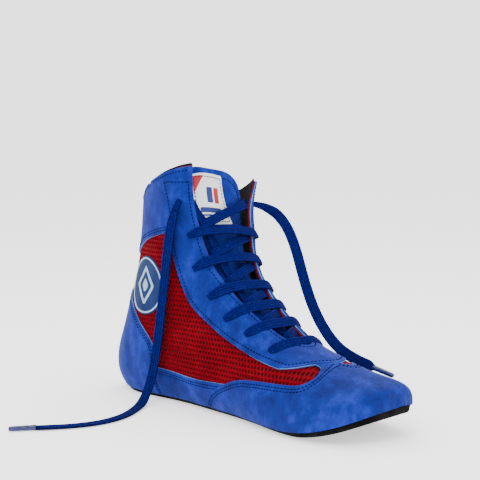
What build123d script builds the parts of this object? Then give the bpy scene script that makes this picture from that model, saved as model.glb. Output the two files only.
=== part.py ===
"""Soft-soled lace-up wrestling boot for the right foot, in millimetres.

+X points to the toe, +Y to the inner (medial) side of the foot and +Z up.  The finished
sub-parts are moved so that the origin is on the ground, under the middle of the boot.

The upper is built in layers on one form, the outer shape of the boot.  The form is a
loft through ribs that fan round the instep: upright ribs across the toe, level ribs
across the shaft.  A layer is the space between the form drawn in by two depths, and
each panel is the piece of a layer inside its own outline.
"""

import math
import os
from dataclasses import dataclass

from build123d import *

os.makedirs("parts", exist_ok=True)

# ---------------------------------------------------------------- driving dimensions
SUEDE = 1.6  # outer panels
MESH = 1.0  # mesh quarters, and the stiffeners that share their layer
LINING = 1.4
UPPER = SUEDE + MESH + LINING

OUTSOLE = 4.0
BOARD = 1.5
FOOTBED = 3.0
SOLE_INSET = 1.2  # the upper overhangs the edge of the outsole by this much
SPRING_START = 62.0  # the sole is flat from the heel to here
SPRING_RADIUS = 159.0  # and turns up to the toe in this arc
SPRING_ARC = 32.0  # degrees

TONGUE_DEPTH = 8.6  # below the outer face of the upper, which leaves room for the lace
TONGUE_SUEDE = 1.4
TONGUE_FOAM = 3.0
TONGUE_LINING = 1.0
LABEL = 0.6

LACE = 3.2  # the flat lace is drawn as a round cord where the holes hold it
LACE_END = 5.0  # a round cord of the same section as the 8.5 x 2.4 mm flat lace
HOLE = 4.4
HOLE_OVERSHOOT = 2.0  # the cutter of a hole runs past both faces by this much
AGLET = 4.2
AGLET_LENGTH = 19.0
BADGE_RADIUS = 23.0
BADGE = 1.2

REACH = 400.0  # longer than the boot, for cutters
MIDDLE_X = -2.85  # middle of the length, in the coordinates used below

LATERAL, MEDIAL = -1, 1  # outer and inner side of the foot, as the sign of Y
SIDES = {"lateral": LATERAL, "medial": MEDIAL}


# ---------------------------------------------------------------- the form
@dataclass
class Rib:
    """One cross-section of the form, in the plane through two points of the profile."""

    top: tuple  # instep, or front of the shaft: x, z
    low: tuple  # sole, or back of the heel: x, z
    lateral: float  # half width on the outer side of the foot
    medial: float
    shift: float = 0.0  # the middle of the rib, off the middle plane
    widest: float = 0.5  # where it is widest, from low (0) to top (1)
    low_power: float = 2.0  # 2 is round, more is square
    lateral_power: float = 2.0
    medial_power: float = 2.0


RIBS = [
    Rib((137.5, 32), (137.5, 20), 8, 5, 2, 0.50, 2.2, 2.0, 2.0),
    Rib((136, 36), (136, 15), 21, 14, 2, 0.45, 2.4, 2.1, 2.1),
    Rib((131.5, 38.5), (131.5, 9), 33, 20, 2, 0.42, 2.6, 2.2, 2.2),
    Rib((122, 40.5), (122, 3), 44, 26, 2, 0.36, 2.8, 2.2, 2.2),
    Rib((108, 43), (108, -2), 49.5, 31, 1, 0.32, 2.8, 2.1, 2.1),
    Rib((89, 47), (89, -6), 51.5, 36, 0, 0.30, 2.7, 2.1, 2.1),
    Rib((68, 52.5), (68, -7), 50.5, 39, 0, 0.30, 2.6, 2.1, 2.1),
    Rib((46, 60.5), (46, -7), 47, 41, -1, 0.34, 2.6, 2.1, 2.1),
    Rib((22, 75), (14, -7), 42, 42, -1, 0.36, 2.5, 2.2, 2.2),
    Rib((5, 89), (-31, -7), 39.5, 40.5, 0, 0.44, 2.5, 2.4, 2.5),
    Rib((-8, 103), (-76, -7), 38.5, 40.5, 0, 0.50, 2.5, 2.6, 2.8),
    Rib((-15, 115), (-118, -7), 38, 41, 0, 0.54, 2.6, 2.7, 3.1),
    Rib((-18.5, 123), (-140, 10), 38, 41, 0, 0.58, 2.4, 2.8, 3.4),
    Rib((-22, 132), (-142, 34), 38, 41.5, 0, 0.64, 2.0, 2.8, 3.6),
    Rib((-27, 146), (-132, 76), 38.5, 42.5, 0, 0.72, 1.7, 2.8, 3.7),
    Rib((-30, 160), (-121, 115), 39.5, 45.5, 0, 0.72, 1.65, 2.8, 3.8),
    Rib((-30, 175), (-115, 145), 40, 49, 0, 0.70, 1.7, 2.8, 4.0),
    Rib((-27, 192), (-106, 182), 40, 52, 0, 0.66, 1.8, 2.8, 4.2),
]
RIB_STEP = 15  # degrees between the points of an outline
RIB_GAP = 7.5  # the outline stops this far short of the top, over the throat
TOE_START = 68.0  # ahead of this, drawing the form in also draws its ribs back


def rib_outline(rib, depth):
    """Plane of a rib and its outline, drawn in by depth and open at the top."""
    tip = RIBS[0].top[0]
    back = depth * max(rib.top[0] - TOE_START, 0) / (tip - TOE_START)
    low = Vector(rib.low[0] - back, 0, rib.low[1])
    top = Vector(rib.top[0] - back, 0, rib.top[1])
    rise = (top - low).normalized()
    length = (top - low).length
    plane = Plane(origin=low, x_dir=(0, 1, 0), z_dir=Vector(0, 1, 0).cross(rise))
    angles = [RIB_GAP, *range(RIB_STEP, 360, RIB_STEP), 360 - RIB_GAP]
    points = []
    for angle in angles:
        across, along = math.sin(math.radians(angle)), math.cos(math.radians(angle))
        width = rib.lateral if across < 0 else rib.medial
        top_power = rib.lateral_power if across < 0 else rib.medial_power
        power = rib.low_power if along < 0 else top_power
        height = (rib.widest if along < 0 else 1 - rib.widest) * length
        reach = (abs(across) ** power + abs(along) ** power) ** (-1 / power)
        points.append(
            Vector(
                rib.shift + (width - depth) * reach * across,
                rib.widest * length + (height - depth) * reach * along,
            )
        )
    span = angles[-1] - angles[0]
    places = [(angle - angles[0]) / span for angle in angles]
    return plane, Edge.make_spline(points, parameters=places)


def form(depth, ribs=RIBS):
    """The solid inside the outer shape of the boot, drawn in by depth."""
    with BuildPart() as solid:
        for rib in ribs:
            plane, outline = rib_outline(rib, depth)
            with BuildSketch(plane):
                with BuildLine():
                    add(outline)
                    Line(outline @ 1, outline @ 0)
                make_face()
        loft()
    return solid.part


# ---------------------------------------------------------------- cutting regions
# Regions drawn in the side view are prisms across the boot; regions drawn in the throat
# view, square to the instep, are prisms that start inside the boot and run forwards.
SIDE_VIEW = Plane.XZ
THROAT_TILT = 38.7
FORWARD = Vector(math.cos(math.radians(THROAT_TILT)), 0, math.sin(math.radians(THROAT_TILT)))
THROAT_VIEW = Plane(origin=(0, 0, 0), x_dir=(0, 1, 0), z_dir=FORWARD)
THROAT_START = 45.0  # between the back of the shaft and its front


def side_prism(region, side=None):
    """Prism of a side-view region: across the whole boot, or one side of it."""
    if side is None:
        return extrude(region, amount=REACH / 2, both=True, mode=Mode.PRIVATE)
    return extrude(region, amount=-side * REACH / 2, mode=Mode.PRIVATE)


def throat_prism(region):
    """Prism of a throat-view region, from inside the boot forwards."""
    placed = THROAT_VIEW.offset(THROAT_START) * region
    return extrude(placed, amount=REACH, mode=Mode.PRIVATE)


def area(edge_points, closing_points):
    """Face between a smooth edge and straight closing lines, in view coordinates."""
    with BuildSketch(Plane.XY) as region:
        with BuildLine():
            edge = Spline(*edge_points)
            Polyline(edge @ 1, *closing_points, edge @ 0)
        make_face()
    return region.sketch


def in_side_view(region):
    """A region drawn flat, stood up in the side view."""
    return SIDE_VIEW * region


with BuildSketch(SIDE_VIEW) as above_outsole:
    with BuildLine():
        flat = Line((-REACH / 2, OUTSOLE), (SPRING_START, OUTSOLE))
        spring = CenterArc((SPRING_START, SPRING_RADIUS), SPRING_RADIUS - OUTSOLE, -90, SPRING_ARC)
        Polyline(spring @ 1, (REACH / 2, REACH), (-REACH / 2, REACH), flat @ 0)
    make_face()

TOPLINE = {
    LATERAL: [(-150, 128), (-122, 146), (-100, 163.5), (-75, 175), (-47, 184), (-15, 189)],
    MEDIAL: [
        (-150, 128), (-122, 146), (-108, 152), (-90, 155.5), (-70, 159), (-55, 164),
        (-42, 170.5), (-28, 175), (-10, 177),
    ],
}
above_topline = {
    side: in_side_view(area(edge, [(50, 189), (50, 300), (-200, 300), (-200, 128)]))
    for side, edge in TOPLINE.items()
}

# Half widths of the throat at rising places along the instep; it flares at the top.
THROAT_END = (0, 9)
THROAT_LOW = [(6.5, 11.5), (10.5, 17), (13, 26), (15, 40), (17.5, 60), (24.5, 111)]
THROAT_FLARE = {LATERAL: [(-29, 145), (-32, 175)], MEDIAL: [(33.5, 141), (41.5, 155), (46, 175)]}
throat = area(
    THROAT_FLARE[LATERAL][::-1]
    + [(-half, rise) for half, rise in THROAT_LOW[::-1]]
    + [THROAT_END]
    + THROAT_LOW
    + THROAT_FLARE[MEDIAL],
    [(60, 250), (-60, 250)],
)

HEEL_EDGE = [(-71, 0), (-71, 29), (-73.5, 45), (-84, 57), (-97, 69), (-115, 80), (-150, 90)]
HEEL_CLOSING = [(-200, 90), (-200, -30), (-71, -30)]
heel_side = in_side_view(area(HEEL_EDGE, HEEL_CLOSING))
STIFFENER_EDGE = [(-79, 0), (-79, 27), (-82, 40), (-92, 51), (-105, 62), (-120, 71), (-150, 80)]
STIFFENER_CLOSING = [(-200, 80), (-200, -30), (-79, -30)]
stiffener_side = in_side_view(area(STIFFENER_EDGE, STIFFENER_CLOSING))

VAMP_EDGE = [
    (-20, 2), (-14, 10.4), (-5, 19), (7.8, 26), (22, 31.5), (37.7, 34), (59.7, 34.8),
    (75, 35.5), (83, 37.8), (86, 41.3), (84, 45), (79, 47.2), (70, 49),
]
vamp_side = in_side_view(area(VAMP_EDGE, [(70, 100), (200, 100), (200, -30), (-20, -30)]))
# On the medial side the mesh also shows in a small notch between the vamp and the eyestay.
NOTCH_EDGE = [(-1.5, -16.5), (2, -20), (8, -21), (14, -18), (18, -12)]
notch = area(NOTCH_EDGE, [(18, 0), (-1.5, 0)])
BACKING_EDGE = [(-10, 0), (-3, 10), (12, 19), (38, 26), (66, 27), (85, 30), (94, 38), (94, 60)]
backing_side = in_side_view(area(BACKING_EDGE, [(94, 100), (200, 100), (200, -30), (-10, -30)]))

STRIP_EDGE = [(-90, 29), (-71, 27.5), (-57.5, 26.9), (-33, 25), (2.6, 26), (20, 27)]
strip_side = in_side_view(area(STRIP_EDGE, [(20, -30), (-90, -30)]))

STAY_REAR_EDGE = [
    (-60, 180), (-56, 166), (-51.6, 141), (-49, 117), (-43, 99), (-33, 83), (-18, 71.6),
    (0.5, 61.4), (21, 53.6), (44.5, 46.8), (55, 44.6), (66, 43), (90, 42),
]
stay_side = in_side_view(area(STAY_REAR_EDGE, [(200, 42), (200, 250), (-60, 250)]))
STAY_FRONT_EDGE = [(-60, 6), (-45, 3), (-36, 0), (-32, -4.3), (-21, -9.7), (-6, -15), (0, -16)]
stay_front = area(
    STAY_FRONT_EDGE + [(-y, s) for y, s in STAY_FRONT_EDGE[-2::-1]], [(60, 250), (-60, 250)]
)
STAY_TOP = 177.3  # on the outer side; on the inner side it runs up to the topline

COLLAR_EDGE = [(-150, 104), (-122, 112), (-105, 119), (-90, 126), (-75, 131), (-52, 136), (-30, 139)]
collar_side = in_side_view(area(COLLAR_EDGE, [(50, 139), (50, 250), (-200, 250), (-200, 104)]))


def half_space(side):
    """Everything on one side of the middle plane."""
    with BuildSketch(SIDE_VIEW) as region:
        Rectangle(2 * REACH, 2 * REACH)
    return side_prism(region.sketch, side)


def above(height, side):
    """Everything above a level, on one side of the middle plane."""
    with BuildSketch(SIDE_VIEW) as region:
        with Locations((0, height + REACH)):
            Rectangle(2 * REACH, 2 * REACH)
    return side_prism(region.sketch, side)


# ---------------------------------------------------------------- places on the form
OUTER_FORM = form(0)


def on_form(across, rise, depth):
    """Point below the outer face of the upper, placed in the throat view."""
    start = THROAT_VIEW.from_local_coords(Vector(across, rise, 0))
    hits = OUTER_FORM.find_intersection_points(Axis(start, FORWARD))
    point, normal = max(hits, key=lambda hit: hit[0].dot(FORWARD))
    if normal.dot(FORWARD) < 0:
        normal = -normal
    return point - normal * depth


# Lace holes from the toe up, in the throat view: half spacing, place along the instep.
LACE_ROWS = [(29, 14.8), (30, 36.5), (31, 56.6), (31, 78.6), (31.5, 104.8), (33, 126.9)]
TOP_HOLE = {LATERAL: (-37, 151.5), MEDIAL: (40.5, 144)}
INNER_DROP = [3, 0, 1, 4, 6, 8]  # the inner hole of each row sits this much lower
lateral_holes = [(-half, rise) for half, rise in LACE_ROWS]
medial_holes = [(half, rise - drop) for (half, rise), drop in zip(LACE_ROWS, INNER_DROP)]
holes = {
    LATERAL: [*lateral_holes, TOP_HOLE[LATERAL]],
    MEDIAL: [*medial_holes, TOP_HOLE[MEDIAL]],
}

with BuildPart() as hole_cutter:
    for side in (LATERAL, MEDIAL):
        for across, rise in holes[side]:
            outside = on_form(across, rise, -HOLE_OVERSHOOT)
            inside = on_form(across, rise, UPPER + HOLE_OVERSHOOT)
            with BuildSketch(Plane(origin=outside, z_dir=inside - outside)):
                Circle(HOLE / 2)
            extrude(amount=(inside - outside).length)

# ---------------------------------------------------------------- cutting prisms
sole_prism = side_prism(above_outsole.sketch)
topline_prisms = {side: side_prism(region, side) for side, region in above_topline.items()}
throat_opening = throat_prism(throat)
halves = {side: half_space(side) for side in (LATERAL, MEDIAL)}
heel_prism = side_prism(heel_side)
stiffener_prism = side_prism(stiffener_side)
vamp_prism = side_prism(vamp_side)
notch_prism = throat_prism(notch)
backing_prism = side_prism(backing_side)
strip_prism = side_prism(strip_side)
collar_prism = side_prism(collar_side)

with BuildPart() as stay_prism:
    add(side_prism(stay_side))
    add(throat_prism(stay_front), mode=Mode.INTERSECT)
    add(above(STAY_TOP, LATERAL), mode=Mode.SUBTRACT)

with BuildPart() as collar_region:
    add(collar_prism)
    add(stay_prism.part, mode=Mode.SUBTRACT)


# ---------------------------------------------------------------- layers of the upper
def layer(outer, inner):
    """The upper between two depths, open at the throat and the top, down to the sole."""
    with BuildPart() as shell:
        add(form(outer))
        add(sole_prism, mode=Mode.INTERSECT)
        for prism in topline_prisms.values():
            add(prism, mode=Mode.SUBTRACT)
        add(throat_opening, mode=Mode.SUBTRACT)
        add(form(inner), mode=Mode.SUBTRACT)
    return shell.part


suede_layer = layer(0, SUEDE)
mesh_layer = layer(SUEDE, SUEDE + MESH)
lining_layer = layer(SUEDE + MESH, UPPER)


def finish(sub_part, name):
    """Move a finished sub-part so the origin is under the middle of the boot, and write it."""
    placed = Pos(-MIDDLE_X, 0, 0) * sub_part
    placed.label = name
    export_step(placed, f"parts/{name}.step")
    print(f"{name}: {placed.volume:.0f} mm3, {len(placed.solids())} solid, valid {placed.is_valid}")


# ---------------------------------------------------------------- sole
def sole_profile(bottom, top):
    """Side view of a sole layer between two heights, turned up at the toe."""
    with BuildSketch(SIDE_VIEW) as profile:
        with BuildLine():
            center = (SPRING_START, SPRING_RADIUS)
            under = Line((-REACH / 2, bottom), (SPRING_START, bottom))
            under_toe = CenterArc(center, SPRING_RADIUS - bottom, -90, SPRING_ARC)
            over_toe = CenterArc(center, SPRING_RADIUS - top, -90, SPRING_ARC)
            over = Line((-REACH / 2, top), (SPRING_START, top))
            Line(under_toe @ 1, over_toe @ 1)
            Line(over @ 0, under @ 0)
        make_face()
    return profile.sketch


def sole_layer(bottom, top, depth):
    """A layer of the sole that fills the form drawn in by depth."""
    with BuildPart() as sole:
        add(form(depth))
        extrude(sole_profile(bottom, top), amount=REACH / 2, both=True, mode=Mode.INTERSECT)
    return sole.part


board_top = OUTSOLE + BOARD
with BuildPart() as outsole:
    add(sole_layer(0, OUTSOLE, SOLE_INSET))
finish(outsole.part, "outsole")

with BuildPart() as insole_board:
    add(sole_layer(OUTSOLE, board_top, UPPER))
finish(insole_board.part, "insole_board")

with BuildPart() as footbed:
    add(sole_layer(board_top, board_top + FOOTBED, UPPER))
finish(footbed.part, "footbed")

# ---------------------------------------------------------------- suede panels
with BuildPart() as eyestay:
    add(suede_layer)
    add(stay_prism.part, mode=Mode.INTERSECT)
    add(hole_cutter.part, mode=Mode.SUBTRACT)
finish(eyestay.part, "eyestay")

for side_name, side in SIDES.items():
    with BuildPart() as ankle_collar:
        add(suede_layer)
        add(halves[side], mode=Mode.INTERSECT)
        add(collar_region.part, mode=Mode.INTERSECT)
    finish(ankle_collar.part, f"ankle_collar_{side_name}")

    with BuildPart() as side_strip:
        add(suede_layer)
        add(halves[side], mode=Mode.INTERSECT)
        add(strip_prism, mode=Mode.INTERSECT)
        add(heel_prism, mode=Mode.SUBTRACT)
        add(vamp_prism, mode=Mode.SUBTRACT)
    finish(side_strip.part, f"side_strip_{side_name}")

with BuildPart() as heel_counter:
    add(suede_layer)
    add(heel_prism, mode=Mode.INTERSECT)
finish(heel_counter.part, "heel_counter")

with BuildPart() as vamp:
    add(suede_layer)
    add(vamp_prism, mode=Mode.INTERSECT)
    add(stay_prism.part, mode=Mode.SUBTRACT)
    add(notch_prism, mode=Mode.SUBTRACT)
finish(vamp.part, "vamp")

# ---------------------------------------------------------------- mesh, backings, lining
for side_name, side in SIDES.items():
    with BuildPart() as quarter_mesh:
        add(mesh_layer)
        add(halves[side], mode=Mode.INTERSECT)
        add(stiffener_prism, mode=Mode.SUBTRACT)
        add(backing_prism, mode=Mode.SUBTRACT)
        add(hole_cutter.part, mode=Mode.SUBTRACT)
    finish(quarter_mesh.part, f"quarter_mesh_{side_name}")

    with BuildPart() as lining:
        add(lining_layer)
        add(halves[side], mode=Mode.INTERSECT)
        add(hole_cutter.part, mode=Mode.SUBTRACT)
    finish(lining.part, f"lining_{side_name}")

with BuildPart() as heel_stiffener:
    add(mesh_layer)
    add(stiffener_prism, mode=Mode.INTERSECT)
finish(heel_stiffener.part, "heel_stiffener")

with BuildPart() as vamp_backing:
    add(mesh_layer)
    add(backing_prism, mode=Mode.INTERSECT)
finish(vamp_backing.part, "vamp_backing")

# ---------------------------------------------------------------- ankle badges
BADGE_PLACE = (-84, 92)  # x, z of the middle
for side_name, side in SIDES.items():
    with BuildSketch(SIDE_VIEW) as disc:
        with Locations(BADGE_PLACE):
            Circle(BADGE_RADIUS)
    with BuildPart() as badge:
        add(form(SUEDE - BADGE))
        add(side_prism(disc.sketch, side), mode=Mode.INTERSECT)
        add(form(SUEDE), mode=Mode.SUBTRACT)
    finish(badge.part, f"badge_{side_name}")

# ---------------------------------------------------------------- tongue
# The tongue lies under the lace and wraps a little way round the foot on both sides.
TONGUE_OUTLINE = [
    (-16, -18), (-20, 0), (-23, 40), (-26.5, 100), (-29, 140), (-29, 161), (-26, 168),
    (-19, 168), (-9, 166.3), (4.3, 164.9), (16.6, 161.8), (25, 156), (29, 147), (29, 128),
    (26.5, 95), (23, 40), (20, 0), (16, -18),
]
tongue_front = area(TONGUE_OUTLINE, [(0, -22)])
tongue_cut = throat_prism(tongue_front)
TONGUE_RIBS = RIBS[4:]


def tongue_layer(outer, inner):
    """The tongue between two depths."""
    with BuildPart() as shell:
        add(form(outer, TONGUE_RIBS))
        add(tongue_cut, mode=Mode.INTERSECT)
        add(form(inner, TONGUE_RIBS), mode=Mode.SUBTRACT)
    return shell.part


foam_depth = TONGUE_DEPTH + TONGUE_SUEDE
tongue_lining_depth = foam_depth + TONGUE_FOAM
tongue_inside = tongue_lining_depth + TONGUE_LINING

with BuildPart() as tongue_outer:
    add(tongue_layer(TONGUE_DEPTH, foam_depth))
finish(tongue_outer.part, "tongue_outer")

with BuildPart() as tongue_pad:
    add(tongue_layer(foam_depth, tongue_lining_depth))
finish(tongue_pad.part, "tongue_pad")

with BuildPart() as tongue_lining:
    add(tongue_layer(tongue_lining_depth, tongue_inside))
finish(tongue_lining.part, "tongue_lining")

LABEL_OUTLINE = [(-25.5, 166.5), (3, 162.5), (12.5, 131), (-20, 132)]
with BuildSketch(Plane.XY) as label_outline:
    Polygon(*LABEL_OUTLINE, align=None)
with BuildPart() as tongue_label:
    add(form(TONGUE_DEPTH - LABEL, TONGUE_RIBS))
    add(throat_prism(label_outline.sketch), mode=Mode.INTERSECT)
    add(form(TONGUE_DEPTH, TONGUE_RIBS), mode=Mode.SUBTRACT)
finish(tongue_label.part, "tongue_label")

# The strap that the tongue's lower end is sewn to, under the vamp at the end of the throat.
ANCHOR_PLACE = (0, -24)
ANCHOR_SIZE = (34, 8)
ANCHOR_TOP = UPPER + 0.1  # just under the lining
ANCHOR_GAP = 0.4  # to the tongue, which turns on it
with BuildSketch(Plane.XY) as anchor_outline:
    with Locations(ANCHOR_PLACE):
        Rectangle(*ANCHOR_SIZE)
with BuildPart() as tongue_anchor:
    add(form(ANCHOR_TOP, TONGUE_RIBS))
    add(throat_prism(anchor_outline.sketch), mode=Mode.INTERSECT)
    add(form(TONGUE_DEPTH - ANCHOR_GAP, TONGUE_RIBS), mode=Mode.SUBTRACT)
finish(tongue_anchor.part, "tongue_anchor")

# ---------------------------------------------------------------- lace
LACE_GAP = 0.6
ABOVE = -(LACE / 2 + LACE_GAP)  # middle of the lace where it lies on the upper
BELOW = UPPER + LACE / 2  # and where it lies between the lining and the tongue
CROSSING = (1.2, 1.6, 2.0)  # where a crossing run rides over the long run
BAR_MIDDLE = 0.8  # where a bar crosses the middle of the throat
EDGE_RUN = 5.0  # a crossing run rises over this distance inside the edge of the throat
EDGE_START = 1.5  # and starts to rise this far inside it
CLEAR = 4.5  # the corner outside a top hole stands this far off the flap
# The long run from the top outer hole to the lowest inner one: across, rise and depth.
LONG_RUN = [
    (-31, 147, 5.8), (-26, 139, 5.9), (-19, 129.5, 5.9), (-15.5, 113, 5.9), (-12, 92, 5.8),
    (-9.5, 68, 5.6), (-8.5, 46, 5.2), (1, 30, 5.1), (16, 17, BELOW),
]
THROAT_HALF = [9.5, 15.0, 17.2, 20.0, 23.7, 26.5, 33.0]  # half width of the throat at each row

# The free ends.  The outer one hangs down the flap and lies on the ground, and the inner
# one falls forward over the vamp.
FREE_RUN = {
    LATERAL: [
        (-43.5, -43.6, 146), (-46.5, -43.8, 134), (-50, -43, 119), (-53.5, -42.5, 99),
        (-57, -42.6, 77), (-60, -43.2, 55), (-63.5, -43.8, 36), (-67, -44.6, 20),
        (-69, -48.5, 8.5), (-66, -56, 3.4), (-59, -69, 2.7), (-51, -84, 2.7), (-47, -100, 2.7),
        (-47.5, -115, 2.7), (-52, -129, 2.7), (-60, -143, 2.7), (-68, -155, 2.7),
    ],
    MEDIAL: [
        (-31, 54, 150.5), (-24, 56, 146.5), (-14.5, 56.6, 137), (-5, 55.4, 122),
        (3.5, 52.7, 105), (12.5, 49.3, 89), (24, 45.2, 73), (38, 41.3, 59), (53, 37.6, 49),
        (69, 34.3, 44), (82, 32.2, 41.4), (92, 31, 39.8),
    ],
}


def free_route(side):
    """Middle line of a free end, which starts halfway along the run outside its top hole."""
    corner = on_form(*TOP_HOLE[side], -CLEAR)
    run = [Vector(*point) for point in FREE_RUN[side]]
    return [(corner + run[0]) * 0.5, *run]


def lace_route():
    """Middle line of the laced stretch, from one free end to the other."""
    route = [free_route(LATERAL)[0]]
    route += [on_form(*TOP_HOLE[LATERAL], depth) for depth in (-CLEAR, BELOW)]
    route += [on_form(*spot) for spot in LONG_RUN]
    for row, (half, rise) in enumerate(LACE_ROWS):
        edge = THROAT_HALF[row]
        inner_rise = holes[MEDIAL][row][1]
        bar = [(half, BELOW), (half, ABOVE), ((half + edge) / 2, ABOVE), (edge, ABOVE)]
        bar += [(0, BAR_MIDDLE)] + [(-across, depth) for across, depth in bar[::-1]]
        for across, depth in bar:
            share = (half - across) / (2 * half)
            route.append(on_form(across, inner_rise + (rise - inner_rise) * share, depth))
        far_half, far_rise = holes[MEDIAL][row + 1]
        far_edge = THROAT_HALF[row + 1]
        crossing = [
            (-(half + edge) / 2, BELOW),
            (-edge + EDGE_START, BELOW),
            (-edge + EDGE_RUN, CROSSING[0]),
            ((far_edge - edge) / 2, CROSSING[1]),
            (far_edge - EDGE_RUN, CROSSING[2]),
            (far_edge - EDGE_START, BELOW),
            ((far_half + far_edge) / 2, BELOW),
        ]
        for across, depth in crossing:
            share = (across + half) / (half + far_half)
            route.append(on_form(across, rise + (far_rise - rise) * share, depth))
    route += [on_form(*TOP_HOLE[MEDIAL], depth) for depth in (BELOW, -CLEAR)]
    route.append(free_route(MEDIAL)[0])
    return route


def tangent_radii(route, share=0.45):
    """The radius of the arc at each corner: as large as its shorter run allows."""
    radii = []
    for before, corner, after in zip(route, route[1:], route[2:]):
        arrive, leave = corner - before, after - corner
        turn = math.radians(arrive.get_angle(leave))
        radii.append(share * min(arrive.length, leave.length) / math.tan(turn / 2))
    return radii


def cord(route, diameter):
    """Round cord along straight runs joined by tangent arcs."""
    radii = tangent_radii(route)
    with BuildPart() as tube:
        with BuildLine():
            path = FilletPolyline(*route, radius=radii)
        with BuildSketch(Plane(origin=path @ 0, z_dir=path % 0)):
            Circle(diameter / 2)
        sweep(path=path)
    section = math.pi * diameter**2 / 4
    ratio = tube.part.volume / (section * path.length)
    print(f"cord: length {path.length:.1f}, least radius {min(radii):.1f}, fill {ratio:.3f}")
    return tube.part


with BuildPart() as lace:
    add(cord(lace_route(), LACE))
finish(lace.part, "lace")

for side_name, side in SIDES.items():
    route = free_route(side)
    with BuildPart() as lace_end:
        add(cord(route, LACE_END))
    finish(lace_end.part, f"lace_end_{side_name}")

    with BuildPart() as aglet:
        with BuildSketch(Plane(origin=route[-1], z_dir=route[-1] - route[-2])):
            Circle(AGLET / 2)
        extrude(amount=AGLET_LENGTH)
    finish(aglet.part, f"aglet_{side_name}")
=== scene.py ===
"""Looks of the lace-up wrestling boot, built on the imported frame.

Every length is in millimetres until mesh_object() and the curves turn it into metres.
The coordinates are those of the design, whose origin is under the ankle, and place()
moves them to the middle of the boot.
"""
import math

import bpy
import numpy as np
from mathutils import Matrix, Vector, noise
from mathutils.bvhtree import BVHTree


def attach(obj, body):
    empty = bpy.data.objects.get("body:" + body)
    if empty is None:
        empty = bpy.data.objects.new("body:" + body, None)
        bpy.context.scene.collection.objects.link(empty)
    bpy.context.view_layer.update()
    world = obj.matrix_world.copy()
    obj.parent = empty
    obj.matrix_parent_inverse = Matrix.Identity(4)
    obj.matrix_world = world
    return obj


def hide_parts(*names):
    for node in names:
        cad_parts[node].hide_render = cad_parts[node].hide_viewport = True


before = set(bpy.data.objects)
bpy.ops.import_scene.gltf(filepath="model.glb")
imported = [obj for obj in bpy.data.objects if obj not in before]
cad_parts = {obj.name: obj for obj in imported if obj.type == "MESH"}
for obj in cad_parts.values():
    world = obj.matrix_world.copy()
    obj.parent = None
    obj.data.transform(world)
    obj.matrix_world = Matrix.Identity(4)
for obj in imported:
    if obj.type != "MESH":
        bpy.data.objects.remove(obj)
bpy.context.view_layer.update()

MIDDLE_X = -2.85  # middle of the boot's length in the design's coordinates
LATERAL, MEDIAL = -1, 1
SIDES = {"lateral": LATERAL, "medial": MEDIAL}


def place(points):
    """Points of the design, in the frame and in metres."""
    return (np.asarray(points, float) - (MIDDLE_X, 0, 0)) * 0.001


# ---------------------------------------------------------------- smooth lines
def natural_spline(places, values):
    """A cubic curve through the values, with no bending at its two ends."""
    places, values = np.asarray(places, float), np.asarray(values, float)
    count = len(places)
    step = np.diff(places)
    matrix, right = np.eye(count), np.zeros_like(values)
    for i in range(1, count - 1):
        matrix[i, i - 1 : i + 2] = step[i - 1], 2 * (step[i - 1] + step[i]), step[i]
        rise = (values[i + 1] - values[i]) / step[i] - (values[i] - values[i - 1]) / step[i - 1]
        right[i] = 6 * rise
    bend = np.linalg.solve(matrix, right)

    def at(where):
        where = np.asarray(where, float)
        i = np.clip(np.searchsorted(places, where) - 1, 0, count - 2)
        h = step[i][:, None]
        a, b = (places[i + 1] - where)[:, None] / h, (where - places[i])[:, None] / h
        curve = (a**3 - a) * bend[i] + (b**3 - b) * bend[i + 1]
        return a * values[i] + b * values[i + 1] + curve * h**2 / 6

    return at


def distances(points):
    """Distance of each point from the first, along the line."""
    return np.r_[0, np.cumsum(np.linalg.norm(np.diff(points, axis=0), axis=1))]


def unit(vectors):
    """Vectors of length one, the same way."""
    return vectors / np.maximum(np.linalg.norm(vectors, axis=1), 1e-9)[:, None]


def smooth_line(points, spacing=1.0):
    """Points about spacing apart on a smooth curve through the given ones."""
    points = np.asarray(points, float)
    chord = distances(points)
    return natural_spline(chord, points)(np.linspace(0, chord[-1], int(chord[-1] / spacing) + 2))


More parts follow.
